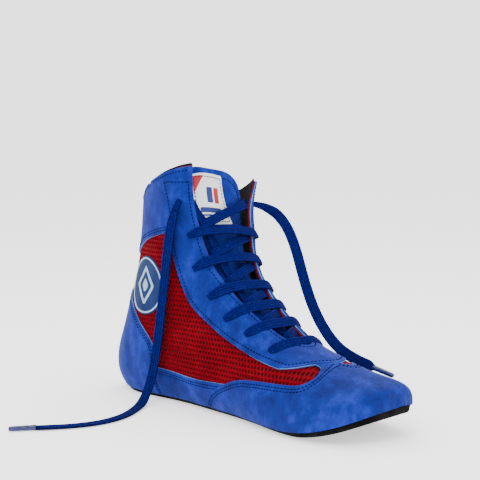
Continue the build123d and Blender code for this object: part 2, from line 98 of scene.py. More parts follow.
# ---------------------------------------------------------------- the form
# Each rib: top x, z, low x, z, lateral and medial half width, shift of its middle, where it
# is widest, and the powers of its outline below, above lateral and above medial.
RIBS = [
    (137.5, 32, 137.5, 20, 8, 5, 2, 0.50, 2.2, 2.0, 2.0),
    (136, 36, 136, 15, 21, 14, 2, 0.45, 2.4, 2.1, 2.1),
    (131.5, 38.5, 131.5, 9, 33, 20, 2, 0.42, 2.6, 2.2, 2.2),
    (122, 40.5, 122, 3, 44, 26, 2, 0.36, 2.8, 2.2, 2.2),
    (108, 43, 108, -2, 49.5, 31, 1, 0.32, 2.8, 2.1, 2.1),
    (89, 47, 89, -6, 51.5, 36, 0, 0.30, 2.7, 2.1, 2.1),
    (68, 52.5, 68, -7, 50.5, 39, 0, 0.30, 2.6, 2.1, 2.1),
    (46, 60.5, 46, -7, 47, 41, -1, 0.34, 2.6, 2.1, 2.1),
    (22, 75, 14, -7, 42, 42, -1, 0.36, 2.5, 2.2, 2.2),
    (5, 89, -31, -7, 39.5, 40.5, 0, 0.44, 2.5, 2.4, 2.5),
    (-8, 103, -76, -7, 38.5, 40.5, 0, 0.50, 2.5, 2.6, 2.8),
    (-15, 115, -118, -7, 38, 41, 0, 0.54, 2.6, 2.7, 3.1),
    (-18.5, 123, -140, 10, 38, 41, 0, 0.58, 2.4, 2.8, 3.4),
    (-22, 132, -142, 34, 38, 41.5, 0, 0.64, 2.0, 2.8, 3.6),
    (-27, 146, -132, 76, 38.5, 42.5, 0, 0.72, 1.7, 2.8, 3.7),
    (-30, 160, -121, 115, 39.5, 45.5, 0, 0.72, 1.65, 2.8, 3.8),
    (-30, 175, -115, 145, 40, 49, 0, 0.70, 1.7, 2.8, 4.0),
    (-27, 192, -106, 182, 40, 52, 0, 0.66, 1.8, 2.8, 4.2),
]
TOE_START = 68.0
TIP_ROWS = (0.0, 0.25, 0.5, 0.75, 0.92)  # rings that close the tip of the toe
TIP_BULGE = 1.4
TIP_HOLE = 0.02  # share of the first rib's size that the last ring keeps


def rib_ring(rib, depth, angles):
    """Points round a rib, drawn in by depth; angle 0 is the top and 90 the medial side."""
    tx, tz, lx, lz, lateral, medial, shift, widest, low_power, lateral_power, medial_power = rib
    back = depth * max(tx - TOE_START, 0) / (RIBS[0][0] - TOE_START)
    low, top = np.array((lx - back, lz)), np.array((tx - back, tz))
    length = np.linalg.norm(top - low)
    rise = (top - low) / length
    across, along = np.sin(angles), np.cos(angles)
    width = np.where(across < 0, lateral, medial)
    power = np.where(along < 0, low_power, np.where(across < 0, lateral_power, medial_power))
    height = np.where(along < 0, widest, 1 - widest) * length
    reach = (np.abs(across) ** power + np.abs(along) ** power) ** (-1 / power)
    y = shift + (width - depth) * reach * across
    up = widest * length + (height - depth) * reach * along
    return np.column_stack((low[0] + up * rise[0], y, low[1] + up * rise[1]))


def form_grid(depth, along_count, around_count, ribs=RIBS, tip=True):
    """Grid of points on the form: rows from the toe to the top of the shaft."""
    angles = np.linspace(0, 2 * np.pi, around_count, endpoint=False)
    rings = np.array([rib_ring(rib, depth, angles) for rib in ribs])
    gap = np.linalg.norm(np.diff(rings, axis=0), axis=2).mean(axis=1)
    places = np.r_[0, np.cumsum(gap)]
    curve = natural_spline(places, rings.reshape(len(ribs), -1))
    rows = curve(np.linspace(0, places[-1], along_count)).reshape(along_count, around_count, 3)
    if tip:
        middle = rows[0].mean(axis=0)
        front = [
            middle + (rows[0] - middle) * max(k, TIP_HOLE) + (TIP_BULGE * (1 - k * k), 0, 0)
            for k in TIP_ROWS
        ]
        rows = np.concatenate((front, rows))
    return rows


def grid_triangles(rows, columns):
    """Triangles of a grid that closes round its columns, facing outwards."""
    i, j = np.meshgrid(np.arange(rows - 1), np.arange(columns), indexing="ij")
    k = (j + 1) % columns
    a, b = (i * columns + j).ravel(), (i * columns + k).ravel()
    c, d = ((i + 1) * columns + k).ravel(), ((i + 1) * columns + j).ravel()
    return np.concatenate((np.column_stack((a, c, b)), np.column_stack((a, d, c))))


def vertex_normals(points, triangles):
    """Smooth normals of a mesh."""
    corner = points[triangles]
    face = np.cross(corner[:, 1] - corner[:, 0], corner[:, 2] - corner[:, 0])
    total = np.zeros_like(points)
    for i in range(3):
        np.add.at(total, triangles[:, i], face)
    return unit(total)


def soften(points, normals, amount):
    """Slow waves of worn leather along the normals."""
    shift = np.empty(len(points))
    for i, p in enumerate(points):
        slow = noise.noise(Vector(p) * 0.028 + Vector((3, 7, 1)))
        quick = noise.noise(Vector(p) * 0.085)
        shift[i] = slow + 0.3 * quick
    return points + normals * (shift * amount)[:, None]


def outward(points, triangles):
    """Triangles turned so that they face away from the long axis of the boot."""
    corner = points[triangles]
    face = np.cross(corner[:, 1] - corner[:, 0], corner[:, 2] - corner[:, 0])
    from_middle = corner.mean(axis=1) * (0, 1, 1)
    side = (face * from_middle).sum(axis=1)
    return triangles if np.median(side) > 0 else triangles[:, ::-1]


FINE = (310, 250)  # points along and round the fine form
WORN_WAVE = 0.75  # height of the slow waves of worn leather
fine_grid = form_grid(0, *FINE)
fine_tris = grid_triangles(fine_grid.shape[0], FINE[1])
fine_points = fine_grid.reshape(-1, 3)
fine_tris = outward(fine_points, fine_tris)
fine_points = soften(fine_points, vertex_normals(fine_points, fine_tris), WORN_WAVE)
fine_normals = vertex_normals(fine_points, fine_tris)


def tree(points, triangles):
    return BVHTree.FromPolygons([tuple(p) for p in points], [tuple(t) for t in triangles.tolist()])


FORM_TREE = tree(fine_points, fine_tris)
TONGUE_DEPTH = 8.6

# ---------------------------------------------------------------- views and regions
TILT = math.radians(38.7)
FORWARD = np.array((math.cos(TILT), 0, math.sin(TILT)))
RISE = np.array((-math.sin(TILT), 0, math.cos(TILT)))
BACK_X = -90.0  # behind this the mesh pattern is laid round the heel
HEEL_ROLL = 40.0  # radius of the heel that the pattern is laid round
FAR = 300.0  # outside the boot, where rays start
IN_FRONT = 45.0  # ahead of this, along FORWARD, lies the front of the shaft


def in_throat_view(points):
    """Across and along the instep, square to it."""
    return np.column_stack((points[:, 1], points @ RISE))


def region(edge, closing):
    """Outline of a region: a smooth edge and straight closing lines."""
    return np.concatenate((smooth_line(edge, 0.8), np.asarray(closing, float)))


def inside_by(points, outline):
    """Distance inside an outline, negative outside it."""
    a, b = outline, np.roll(outline, -1, axis=0)
    best = np.full(len(points), 1e9)
    odd = np.zeros(len(points), bool)
    for p, q in zip(a, b):
        line = q - p
        length = line @ line
        if length < 1e-12:
            continue
        along = np.clip(((points - p) @ line) / length, 0, 1)
        best = np.minimum(best, ((points - p - along[:, None] * line) ** 2).sum(axis=1))
        cross = (p[1] > points[:, 1]) != (q[1] > points[:, 1])
        if abs(line[1]) > 1e-12:
            odd ^= cross & (points[:, 0] < p[0] + (points[:, 1] - p[1]) * line[0] / line[1])
    return np.where(odd, 1, -1) * np.sqrt(best)


TOPLINE = {
    LATERAL: [(-150, 128), (-122, 146), (-100, 163.5), (-75, 175), (-47, 184), (-15, 189)],
    MEDIAL: [
        (-150, 128), (-122, 146), (-108, 152), (-90, 155.5), (-70, 159), (-55, 164),
        (-42, 170.5), (-28, 175), (-10, 177),
    ],
}
TOP_CLOSING = [(50, 189), (50, 300), (-200, 300), (-200, 128)]
THROAT_END = (0, 9)
THROAT_LOW = [(6.5, 11.5), (10.5, 17), (13, 26), (15, 40), (17.5, 60), (24.5, 111)]
THROAT_FLARE = {LATERAL: [(-29, 145), (-32, 175)], MEDIAL: [(33.5, 141), (41.5, 155), (46, 175)]}
THROAT = (
    THROAT_FLARE[LATERAL][::-1]
    + [(-half, rise) for half, rise in THROAT_LOW[::-1]]
    + [THROAT_END]
    + THROAT_LOW
    + THROAT_FLARE[MEDIAL]
)
HEEL_EDGE = [(-71, 0), (-71, 29), (-73.5, 45), (-84, 57), (-97, 69), (-115, 80), (-150, 90)]
VAMP_EDGE = [
    (-20, 2), (-14, 10.4), (-5, 19), (7.8, 26), (22, 31.5), (37.7, 34), (59.7, 34.8),
    (75, 35.5), (83, 37.8), (86, 41.3), (84, 45), (79, 47.2), (70, 49),
]
STRIP_EDGE = [(-90, 29), (-71, 27.5), (-57.5, 26.9), (-33, 25), (2.6, 26), (20, 27)]
STAY_REAR_EDGE = [
    (-60, 180), (-56, 166), (-51.6, 141), (-49, 117), (-43, 99), (-33, 83), (-18, 71.6),
    (0.5, 61.4), (21, 53.6), (44.5, 46.8), (55, 44.6), (66, 43), (90, 42),
]
STAY_FRONT_EDGE = [(-60, 6), (-45, 3), (-36, 0), (-32, -4.3), (-21, -9.7), (-6, -15), (0, -16)]
STAY_TOP = 177.3  # on the outer side; on the inner side it runs up to the topline
COLLAR_EDGE = [
    (-150, 104), (-122, 112), (-105, 119), (-90, 126), (-75, 131), (-52, 136), (-30, 139),
]
NOTCH_EDGE = [(-1.5, -16.5), (2, -20), (8, -21), (14, -18), (18, -12)]

top_outline = {side: region(edge, TOP_CLOSING) for side, edge in TOPLINE.items()}
throat_outline = region(THROAT, [(60, 250), (-60, 250)])
heel_outline = region(HEEL_EDGE, [(-200, 90), (-200, -30), (-71, -30)])
vamp_outline = region(VAMP_EDGE, [(70, 100), (200, 100), (200, -30), (-20, -30)])
strip_outline = region(STRIP_EDGE, [(20, -30), (-90, -30)])
stay_outline = region(STAY_REAR_EDGE, [(200, 42), (200, 250), (-60, 250)])
front_line = STAY_FRONT_EDGE + [(-y, s) for y, s in STAY_FRONT_EDGE[-2::-1]]
front_outline = region(front_line, [(60, 250), (-60, 250)])
collar_outline = region(COLLAR_EDGE, [(50, 139), (50, 250), (-200, 250), (-200, 104)])
notch_outline = region(NOTCH_EDGE, [(18, 0), (-1.5, 0)])
OUTSOLE, SPRING_START, SPRING_RADIUS = 4.0, 62.0, 159.0


def fields(points):
    """Distance of each point inside each region."""
    side_view, throat_view = points[:, [0, 2]], in_throat_view(points)
    lateral = points[:, 1] < 0
    above = np.where(
        lateral, inside_by(side_view, top_outline[LATERAL]), inside_by(side_view, top_outline[MEDIAL])
    )
    ahead = np.maximum(points[:, 0] - SPRING_START, 0)
    inner_radius = SPRING_RADIUS - OUTSOLE
    sole_top = SPRING_RADIUS - np.sqrt(inner_radius**2 - np.minimum(ahead, 99) ** 2)
    throat = inside_by(throat_view, throat_outline)
    in_front = points @ FORWARD > IN_FRONT
    stay_top = np.where(lateral, STAY_TOP - points[:, 2], 50.0)
    stay = np.minimum(inside_by(side_view, stay_outline), inside_by(throat_view, front_outline))
    notch = np.where(in_front, inside_by(throat_view, notch_outline), -50.0)
    return {
        "top": -above,
        "throat": np.where(in_front, -throat, 50.0),
        "sole": points[:, 2] - sole_top,
        "heel": inside_by(side_view, heel_outline),
        "vamp": np.minimum(inside_by(side_view, vamp_outline), -notch),
        "strip": inside_by(side_view, strip_outline),
        "stay": np.minimum(stay, stay_top),
        "collar": inside_by(side_view, collar_outline),
    }


def side_hit(x, z, side):
    """Place on the side of the boot and its normal, from its side-view coordinates."""
    if x >= BACK_X:
        start, way = Vector((x, side * FAR, z)), Vector((0, -side, 0))
    else:
        turn = (BACK_X - x) / HEEL_ROLL
        way = Vector((math.sin(turn), -side * math.cos(turn), 0))
        start = Vector((BACK_X, 0, z)) - way * FAR
    hit, normal, _, _ = FORM_TREE.ray_cast(start, way)
    if hit is None:
        return None
    return np.array(hit), np.array(normal if normal.dot(way) < 0 else -normal)


def throat_hit(across, rise):
    """Place on the instep and its normal, from its throat-view coordinates."""
    start = Vector((0, across, 0)) + Vector(RISE) * rise + Vector(FORWARD) * FAR
    hit, normal, _, _ = FORM_TREE.ray_cast(start, -Vector(FORWARD))
    if hit is None:
        return None
    return np.array(hit), np.array(normal if normal.dot(Vector(FORWARD)) > 0 else -normal)


# ---------------------------------------------------------------- meshes
def mesh_object(name, points, faces, materials, face_materials=None, uv=None):
    """A Blender mesh object from millimetre points and faces."""
    mesh = bpy.data.meshes.new(name)
    faces = faces.tolist() if isinstance(faces, np.ndarray) else faces
    mesh.from_pydata(place(points).tolist(), [], faces)
    for material in materials:
        mesh.materials.append(material)
    if face_materials is not None:
        mesh.polygons.foreach_set("material_index", np.asarray(face_materials, np.int32))
    mesh.polygons.foreach_set("use_smooth", np.ones(len(mesh.polygons), bool))
    if uv is not None:
        layer = mesh.uv_layers.new(name="UVMap")
        index = np.empty(len(mesh.loops), np.int32)
        mesh.loops.foreach_get("vertex_index", index)
        layer.data.foreach_set("uv", np.asarray(uv, float)[index].ravel())
    mesh.update()
    piece = bpy.data.objects.new(name, mesh)
    bpy.context.scene.collection.objects.link(piece)
    return piece


def clip(table, triangles, column):
    """The part of a mesh where a column of its point table is positive."""
    value = table[:, column]
    inside = value >= 0
    count = inside[triangles].sum(axis=1)
    kept = [triangles[count == 3]]
    edges, pieces = [], []
    for wanted in (1, 2):
        chosen = triangles[count == wanted]
        odd = inside[chosen] if wanted == 1 else ~inside[chosen]
        first = odd.argmax(axis=1)
        rolled = np.column_stack([chosen[np.arange(len(chosen)), (first + k) % 3] for k in range(3)])
        pieces.append(rolled)
        edges.append(rolled[:, [0, 1]])
        edges.append(rolled[:, [0, 2]])
    pairs = np.sort(np.concatenate(edges), axis=1)
    unique, index = np.unique(pairs, axis=0, return_inverse=True)
    index = index.ravel() + len(table)
    a, b = unique[:, 0], unique[:, 1]
    share = (value[a] / (value[a] - value[b]))[:, None]
    table = np.concatenate((table, table[a] + (table[b] - table[a]) * share))
    one, two = pieces
    i = np.cumsum([0, len(one), len(one), len(two), len(two)])
    ab1, ac1, ab2, ac2 = (index[i[k] : i[k + 1]] for k in range(4))
    kept.append(np.column_stack((one[:, 0], ab1, ac1)))
    kept.append(np.column_stack((ab2, two[:, 1], two[:, 2])))
    kept.append(np.column_stack((ab2, two[:, 2], ac2)))
    triangles = np.concatenate(kept)
    used, compact = np.unique(triangles, return_inverse=True)
    return table[used], compact.reshape(-1, 3)


def rim(points, normals, triangles):
    """Boundary edges of a panel and the outward direction at each of their points."""
    edges = np.concatenate([triangles[:, [i, (i + 1) % 3]] for i in range(3)])
    key = np.sort(edges, axis=1)
    _, first, count = np.unique(key, axis=0, return_index=True, return_counts=True)
    edges = edges[first[count == 1]]
    along = points[edges[:, 1]] - points[edges[:, 0]]
    out = np.cross(along, normals[edges[:, 0]])
    total = np.zeros_like(points)
    np.add.at(total, edges[:, 0], out)
    np.add.at(total, edges[:, 1], out)
    return edges, unit(total)


FIELD_NAMES = ["top", "throat", "sole", "heel", "vamp", "strip", "stay", "collar"]
SEAM_DEPTH, SEAM_WIDTH = 0.28, 0.75  # of the groove that a row of stitches pulls in
PLAIN_WITHIN = 0.4  # edges this near the topline or the sole aren't pale
EDGE_RINGS = ((0.75, 0.22), (1.0, 0.6), (0.7, 1.0))  # share of roll out, and of thickness in
PALE_RING = 1


def panel(name, table, triangles, cuts, upper, lower, materials, back=False, roll=0.35, seams=()):
    """A panel of the upper between two depths, cut to where every cut is positive.

    cuts are functions of the fields; upper and lower are depths below the form.  The
    second material is the cut edge.  seams are (field, distance) pairs of sunken seams.
    """
    base = table.shape[1]
    named = {n: i + 6 for i, n in enumerate(FIELD_NAMES)}
    for cut in cuts:
        columns = {n: table[:, i] for n, i in named.items()}
        table = np.column_stack((table[:, :base], cut(columns, table)))
        table, triangles = clip(table, triangles, base)
    points, normals = table[:, :3], unit(table[:, 3:6])
    edges, out = rim(points, normals, triangles)
    columns = {n: table[:, i] for n, i in named.items()}
    plain_edge = np.minimum(np.abs(columns["top"]), np.abs(columns["sole"])) < PLAIN_WITHIN
    plain_edge |= (np.abs(columns["throat"]) < PLAIN_WITHIN) & (points[:, 1] < 0)
    sunk = np.zeros(len(points))
    for field, distance in seams:
        sunk += SEAM_DEPTH * np.exp(-(((columns[field] - distance) / SEAM_WIDTH) ** 2))
    at_edge = np.zeros(len(points), bool)
    at_edge[edges.ravel()] = True
    front = points - normals * (upper + sunk)[:, None]
    thickness = lower - upper
    ring_index = np.full(len(points), -1)
    ring_points = np.flatnonzero(at_edge)
    ring_index[ring_points] = np.arange(len(ring_points))
    rings = [front]
    for outwards, deep in EDGE_RINGS:
        shift = out[ring_points] * (outwards * roll) - normals[ring_points] * (
            upper + sunk[ring_points] + deep * thickness
        )[:, None]
        rings.append(points[ring_points] + shift)
    everything = np.concatenate(rings)
    faces, slots = [triangles], [np.zeros(len(triangles), int)]
    start, end = edges[:, 0], edges[:, 1]
    before = (start, end)
    offset = len(front)
    for level in range(len(EDGE_RINGS)):
        after = (offset + ring_index[start], offset + ring_index[end])
        faces.append(np.column_stack((before[1], before[0], after[0])))
        faces.append(np.column_stack((before[1], after[0], after[1])))
        light = np.where(plain_edge[start] & plain_edge[end], 0, int(level == PALE_RING))
        slots += [light, light]
        before, offset = after, offset + len(ring_points)
    if back:
        behind = points - normals * lower
        faces.append(triangles[:, ::-1] + len(everything))
        slots.append(np.zeros(len(triangles), int))
        everything = np.concatenate((everything, behind))
    return mesh_object(name, everything, np.concatenate(faces), materials, np.concatenate(slots))


# ---------------------------------------------------------------- materials
def colour(red, green, blue):
    """An opaque colour, in linear light."""
    return (red, green, blue, 1.0)


class Nodes:
    """Short way to build a material's node tree."""

    def __init__(self, name, roughness=0.8, sheen=0.0, specular=0.4, sheen_tint=None):
        self.material = bpy.data.materials.new(name)
        self.material.use_nodes = True
        self.tree = self.material.node_tree
        self.shader = self.tree.nodes["Principled BSDF"]
        self.shader.inputs["Roughness"].default_value = roughness
        self.shader.inputs["Sheen Weight"].default_value = sheen
        self.shader.inputs["Sheen Roughness"].default_value = 0.45
        self.shader.inputs["Specular IOR Level"].default_value = specular
        if sheen_tint:
            self.shader.inputs["Sheen Tint"].default_value = sheen_tint

    def node(self, kind, inputs=None, **settings):
        """A new node; an input is a value or the socket that feeds it."""
        node = self.tree.nodes.new(kind)
        for key, value in settings.items():
            setattr(node, key, value)
        for key, value in (inputs or {}).items():
            if isinstance(value, bpy.types.NodeSocket):
                self.tree.links.new(value, node.inputs[key])
            else:
                node.inputs[key].default_value = value
        return node

    def ramp(self, value, stops):
        """Colour of a value, from (place, colour) stops; the last of three lies between."""
        node = self.node("ShaderNodeValToRGB", {"Fac": value})
        elements = node.color_ramp.elements
        for i, (place_on, tone) in enumerate(stops):
            element = elements[i] if i < 2 else elements.new(place_on)
            element.position, element.color = place_on, tone
        return node.outputs["Color"]

    def coordinates(self, scale=(1, 1, 1), use="Object"):
        """Scaled object or UV coordinates."""
        place_node = self.node("ShaderNodeTexCoord")
        mapping = self.node("ShaderNodeMapping", {"Vector": place_node.outputs[use]})
        mapping.inputs["Scale"].default_value = scale
        return mapping.outputs["Vector"]

    def noise(self, scale, detail=3.0, vector=None, roughness=0.55):
        """Noise, with scale in cells to the metre."""
        inputs = {"Scale": scale, "Detail": detail, "Roughness": roughness}
        inputs["Vector"] = vector if vector is not None else self.coordinates()
        return self.node("ShaderNodeTexNoise", inputs).outputs["Fac"]

    def bump(self, height, strength, distance):
        """Relief of the surface, with distance in metres."""
        inputs = {"Height": height, "Strength": strength, "Distance": distance}
        node = self.node("ShaderNodeBump", inputs)
        self.tree.links.new(node.outputs["Normal"], self.shader.inputs["Normal"])

    def paint(self, tone):
        """Base colour from a socket."""
        self.tree.links.new(tone, self.shader.inputs["Base Color"])

    def mix(self, share, first, second):
        """Colour between two others."""
        node = self.node("ShaderNodeMix", data_type="RGBA")
        for key, value in ((0, share), (6, first), (7, second)):
            if isinstance(value, bpy.types.NodeSocket):
                self.tree.links.new(value, node.inputs[key])
            else:
                node.inputs[key].default_value = value
        return node.outputs[2]

    def maths(self, operation, first, second=0.5):
        """Result of a sum on one or two values."""
        return self.node("ShaderNodeMath", {0: first, 1: second}, operation=operation).outputs[0]


def napped(name, dark, middle, light, sheen=0.12, tint=None):
    """Suede: brushed patches, fine nap and a faint sheen."""
    n = Nodes(name, roughness=0.92, sheen=sheen, specular=0.12, sheen_tint=tint)
    patches = n.noise(52, 6, roughness=0.68)
    brushed = n.noise(95, 4, n.coordinates((1, 1, 0.4)), roughness=0.6)
    nap = n.noise(1500, 2)
    both = n.maths("ADD", n.maths("MULTIPLY", patches, 0.62), n.maths("MULTIPLY", brushed, 0.34))
    both = n.maths("ADD", both, n.maths("MULTIPLY", nap, 0.10))
    n.paint(n.ramp(both, [(0.40, dark), (0.66, light), (0.53, middle)]))
    fibres = n.noise(2400, 3)
    creases = n.noise(140, 4, roughness=0.6)
    height = n.maths("ADD", n.maths("MULTIPLY", fibres, 0.25), creases)
    n.bump(height, 0.55, 0.0011)
    return n.material


def knitted(name, dark, light, scale=1250.0, sheen=0.3):
    """Knitted or woven cloth: fine rows of loops, with painted shade between them."""
    n = Nodes(name, roughness=0.85, sheen=sheen, specular=0.06)
    rows = n.node(
        "ShaderNodeTexWave",
        {"Vector": n.coordinates(), "Scale": scale, "Distortion": 2.0, "Detail": 1.0},
        bands_direction="Z",
    ).outputs["Fac"]
    cross = n.node(
        "ShaderNodeTexWave",
        {"Vector": n.coordinates(), "Scale": scale * 0.8, "Distortion": 2.0, "Detail": 1.0},
        bands_direction="X",
    ).outputs["Fac"]
    loops = n.maths("MULTIPLY", rows, cross)
    patches = n.noise(60, 3)
    # The colour follows the loops' relief: painted shade between the loops, lighter on their crests,
    # with random patches of tone on top.
    n.paint(n.ramp(n.maths("ADD", n.maths("MULTIPLY", loops, 0.6), n.maths("MULTIPLY", patches, 0.5)),
                   [(0.15, dark), (0.75, light)]))
    n.bump(loops, 0.5, 0.0002)
    return n.material


def braided(name, dark, light, fleck):
    """Flat braid, from its UV map: u runs along in braid lengths and v across; its colour carries
    painted shade in the braid's hollows.
    """
    n = Nodes(name, roughness=0.85, specular=0.04)
    uv = n.coordinates(use="UV")
    apart = n.node("ShaderNodeSeparateXYZ", {"Vector": uv}).outputs
    ribs = n.maths("PINGPONG", n.maths("MULTIPLY", apart["Y"], 4.0), 0.5)
    slant = n.maths("ADD", n.maths("MULTIPLY", apart["X"], 4.0), n.maths("MULTIPLY", ribs, 2.2))
    plait = n.maths("PINGPONG", slant, 0.5)
    height = n.maths("ADD", n.maths("MULTIPLY", ribs, 0.8), n.maths("MULTIPLY", plait, 0.5))
    # The colour follows the relief: painted shade in the hollows between ribs and strands, lighter on
    # their crests.
    tone = n.ramp(height, [(0.12, dark), (0.60, light)])
    flecks = n.ramp(n.noise(1300, 2), [(0.55, colour(0, 0, 0)), (0.66, colour(1, 1, 1))])
    shown = n.maths("MULTIPLY", flecks, n.maths("MULTIPLY", plait, 1.1))
    n.paint(n.mix(shown, tone, fleck))
    n.bump(height, 0.8, 0.0005)
    return n.material


def plain(name, tone, roughness=0.5, grain=900.0, wear=0.15, specular=0.4):
    """A plain surface with a little grain and colour variation."""
    n = Nodes(name, roughness=roughness, specular=specular)
    worn = tuple(min(1, c * (1 + wear) + 0.01 * wear) for c in tone[:3]) + (1,)
    dull = tuple(c * (1 - wear) for c in tone[:3]) + (1,)
    n.paint(n.ramp(n.noise(80, 4), [(0.35, dull), (0.65, worn)]))
    n.bump(n.noise(grain, 3), 0.25, 0.0002)
    return n.material


suede = napped("suede_blue", colour(0.002, 0.007, 0.090), colour(0.004, 0.013, 0.165),
               colour(0.012, 0.026, 0.290), tint=colour(0.3, 0.4, 1.0))
cut_edge = napped("suede_cut_edge", colour(0.03, 0.12, 0.34), colour(0.07, 0.20, 0.44),
                  colour(0.13, 0.30, 0.54), sheen=0.05)
# Cloths made by knitted(): between their dark and light stops lies painted shade between the loops as
# well as random tone.
mesh_red = knitted("mesh_red", colour(0.06, 0.0, 0.002), colour(0.24, 0.0, 0.007), sheen=0.0)
lining_black = knitted("lining_black", colour(0.003, 0.003, 0.004), colour(0.012, 0.012, 0.014),
                       900, sheen=0.05)
stitch_navy = plain("stitch_navy", colour(0.0002, 0.001, 0.014), 0.9, 3000, 0.0, specular=0.05)
# The lace's dark stop is painted shade in the braid's hollows, its light stop the lighter crests.
lace_navy = braided("lace_navy", colour(0.0002, 0.0004, 0.010), colour(0.002, 0.004, 0.120),
                    colour(0.02, 0.045, 0.40))
outsole_black = plain("outsole_black", colour(0.002, 0.002, 0.0025), 0.9, 700, 0.4, specular=0.05)
board = knitted("board", colour(0.05, 0.045, 0.04), colour(0.11, 0.10, 0.09), 700, sheen=0.0)
foam_black = plain("foam_black", colour(0.006, 0.006, 0.007), 0.9, 2200, 0.3, specular=0.2)
red_thread = knitted("red_binding", colour(0.07, 0.0, 0.001), colour(0.26, 0.0005, 0.004), 1500,
                     sheen=0.05)
white_cloth = knitted("label_white", colour(0.66, 0.66, 0.70), colour(0.86, 0.86, 0.88), 1600, 0.0)
label_blue = plain("label_blue", colour(0.002, 0.012, 0.14), 0.6, 2500)
label_red = plain("label_red", colour(0.32, 0.001, 0.006), 0.6, 2500)
badge_blue = plain("badge_blue", colour(0.005, 0.018, 0.085), 0.6, 1500, 0.2, specular=0.08)
badge_white = plain("badge_white", colour(0.26, 0.38, 0.50), 0.5, 1500, 0.15, specular=0.25)
aglet_film = plain("aglet_film", colour(0.004, 0.010, 0.09), 0.3, 1200, 0.2, specular=0.5)

# ---------------------------------------------------------------- uppers of suede
fine_fields = fields(fine_points)
fine_table = np.column_stack(
    (fine_points, fine_normals) + tuple(fine_fields[n] for n in FIELD_NAMES)
)
SUEDE = 1.6
LAP = 2.5  # how far the vamp and collar run on under the eyestay


def side_only(side):
    """Cut that keeps one side of the boot."""
    return lambda f, t: side * t[:, 1]


def uppers(f, t):
    """Cut to the topline, the throat and the sole."""
    return np.minimum(np.minimum(f["top"], f["throat"]), f["sole"])


EYE_LIFT = 0.45  # the eyestay lies over the vamp and the collar


def add(nodes, obj, body="boot"):
    """Hand a mesh over: it rides its body and stands for the CAD nodes."""
    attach(obj, body)
    if nodes:
        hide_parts(*nodes)
    return obj


def suede_panel(node, cuts, lift=0.0, seams=()):
    """One suede piece with a pale cut edge."""
    add([node], panel(
        node + "_suede", fine_table, fine_tris, cuts, -lift, SUEDE, [suede, cut_edge],
        roll=0.32, seams=seams,
    ))


def double_seam(field, first=2.2):
    """Grooves of two rows of stitches along an edge."""
    return (field, first), (field, first + 2.0)


suede_panel(
    "eyestay",
    [uppers, lambda f, t: f["stay"]],
    lift=EYE_LIFT,
    seams=(("stay", 2.8), ("throat", 2.6)),
)
for side_name, side in SIDES.items():
    suede_panel(
        "ankle_collar_" + side_name,
        [uppers, side_only(side), lambda f, t: f["collar"], lambda f, t: LAP - f["stay"]],
        seams=double_seam("collar", 2.4),
    )
    suede_panel(
        "side_strip_" + side_name,
        [uppers, side_only(side), lambda f, t: f["strip"], lambda f, t: -f["heel"],
         lambda f, t: -f["vamp"]],
        seams=double_seam("strip"),
    )
suede_panel("heel_counter", [uppers, lambda f, t: f["heel"]], seams=double_seam("heel"))
suede_panel(
    "vamp",
    [uppers, lambda f, t: f["vamp"], lambda f, t: LAP - f["stay"], lambda f, t: -f["heel"]],
    seams=double_seam("vamp"),
)


# ---------------------------------------------------------------- red mesh with its holes
CELL_WIDTH, CELL_HEIGHT = 3.1, 3.6
HOLE_WIDTH, HOLE_HEIGHT, HOLE_TILT = 1.8, 2.7, math.radians(16)
MESH_DEPTH = 1.3
SPAN_X, SPAN_Z, SPAN_STEP = (-156.0, 92.0), (20.0, 190.0), 2.0


def unwrapped(side):
    """Grid of places and normals on a flank, over unrolled side-view coordinates."""
    across = np.arange(SPAN_X[0], SPAN_X[1] + 0.1, SPAN_STEP)
    rise = np.arange(SPAN_Z[0], SPAN_Z[1] + 0.1, SPAN_STEP)
    grid = np.full((len(across), len(rise), 6), np.nan)
    for i, x in enumerate(across):
        for j, z in enumerate(rise):
            found = side_hit(x, z, side)
            if found:
                grid[i, j, :3], grid[i, j, 3:] = found
    return grid


def look_up(grid, x, z):
    """Values of a grid between its points."""
    i, j = (x - SPAN_X[0]) / SPAN_STEP, (z - SPAN_Z[0]) / SPAN_STEP
    i0 = np.clip(i.astype(int), 0, grid.shape[0] - 2)
    j0 = np.clip(j.astype(int), 0, grid.shape[1] - 2)
    u, v = (i - i0)[..., None], (j - j0)[..., None]
    low = grid[i0, j0] * (1 - u) + grid[i0 + 1, j0] * u
    high = grid[i0, j0 + 1] * (1 - u) + grid[i0 + 1, j0 + 1] * u
    return low * (1 - v) + high * v


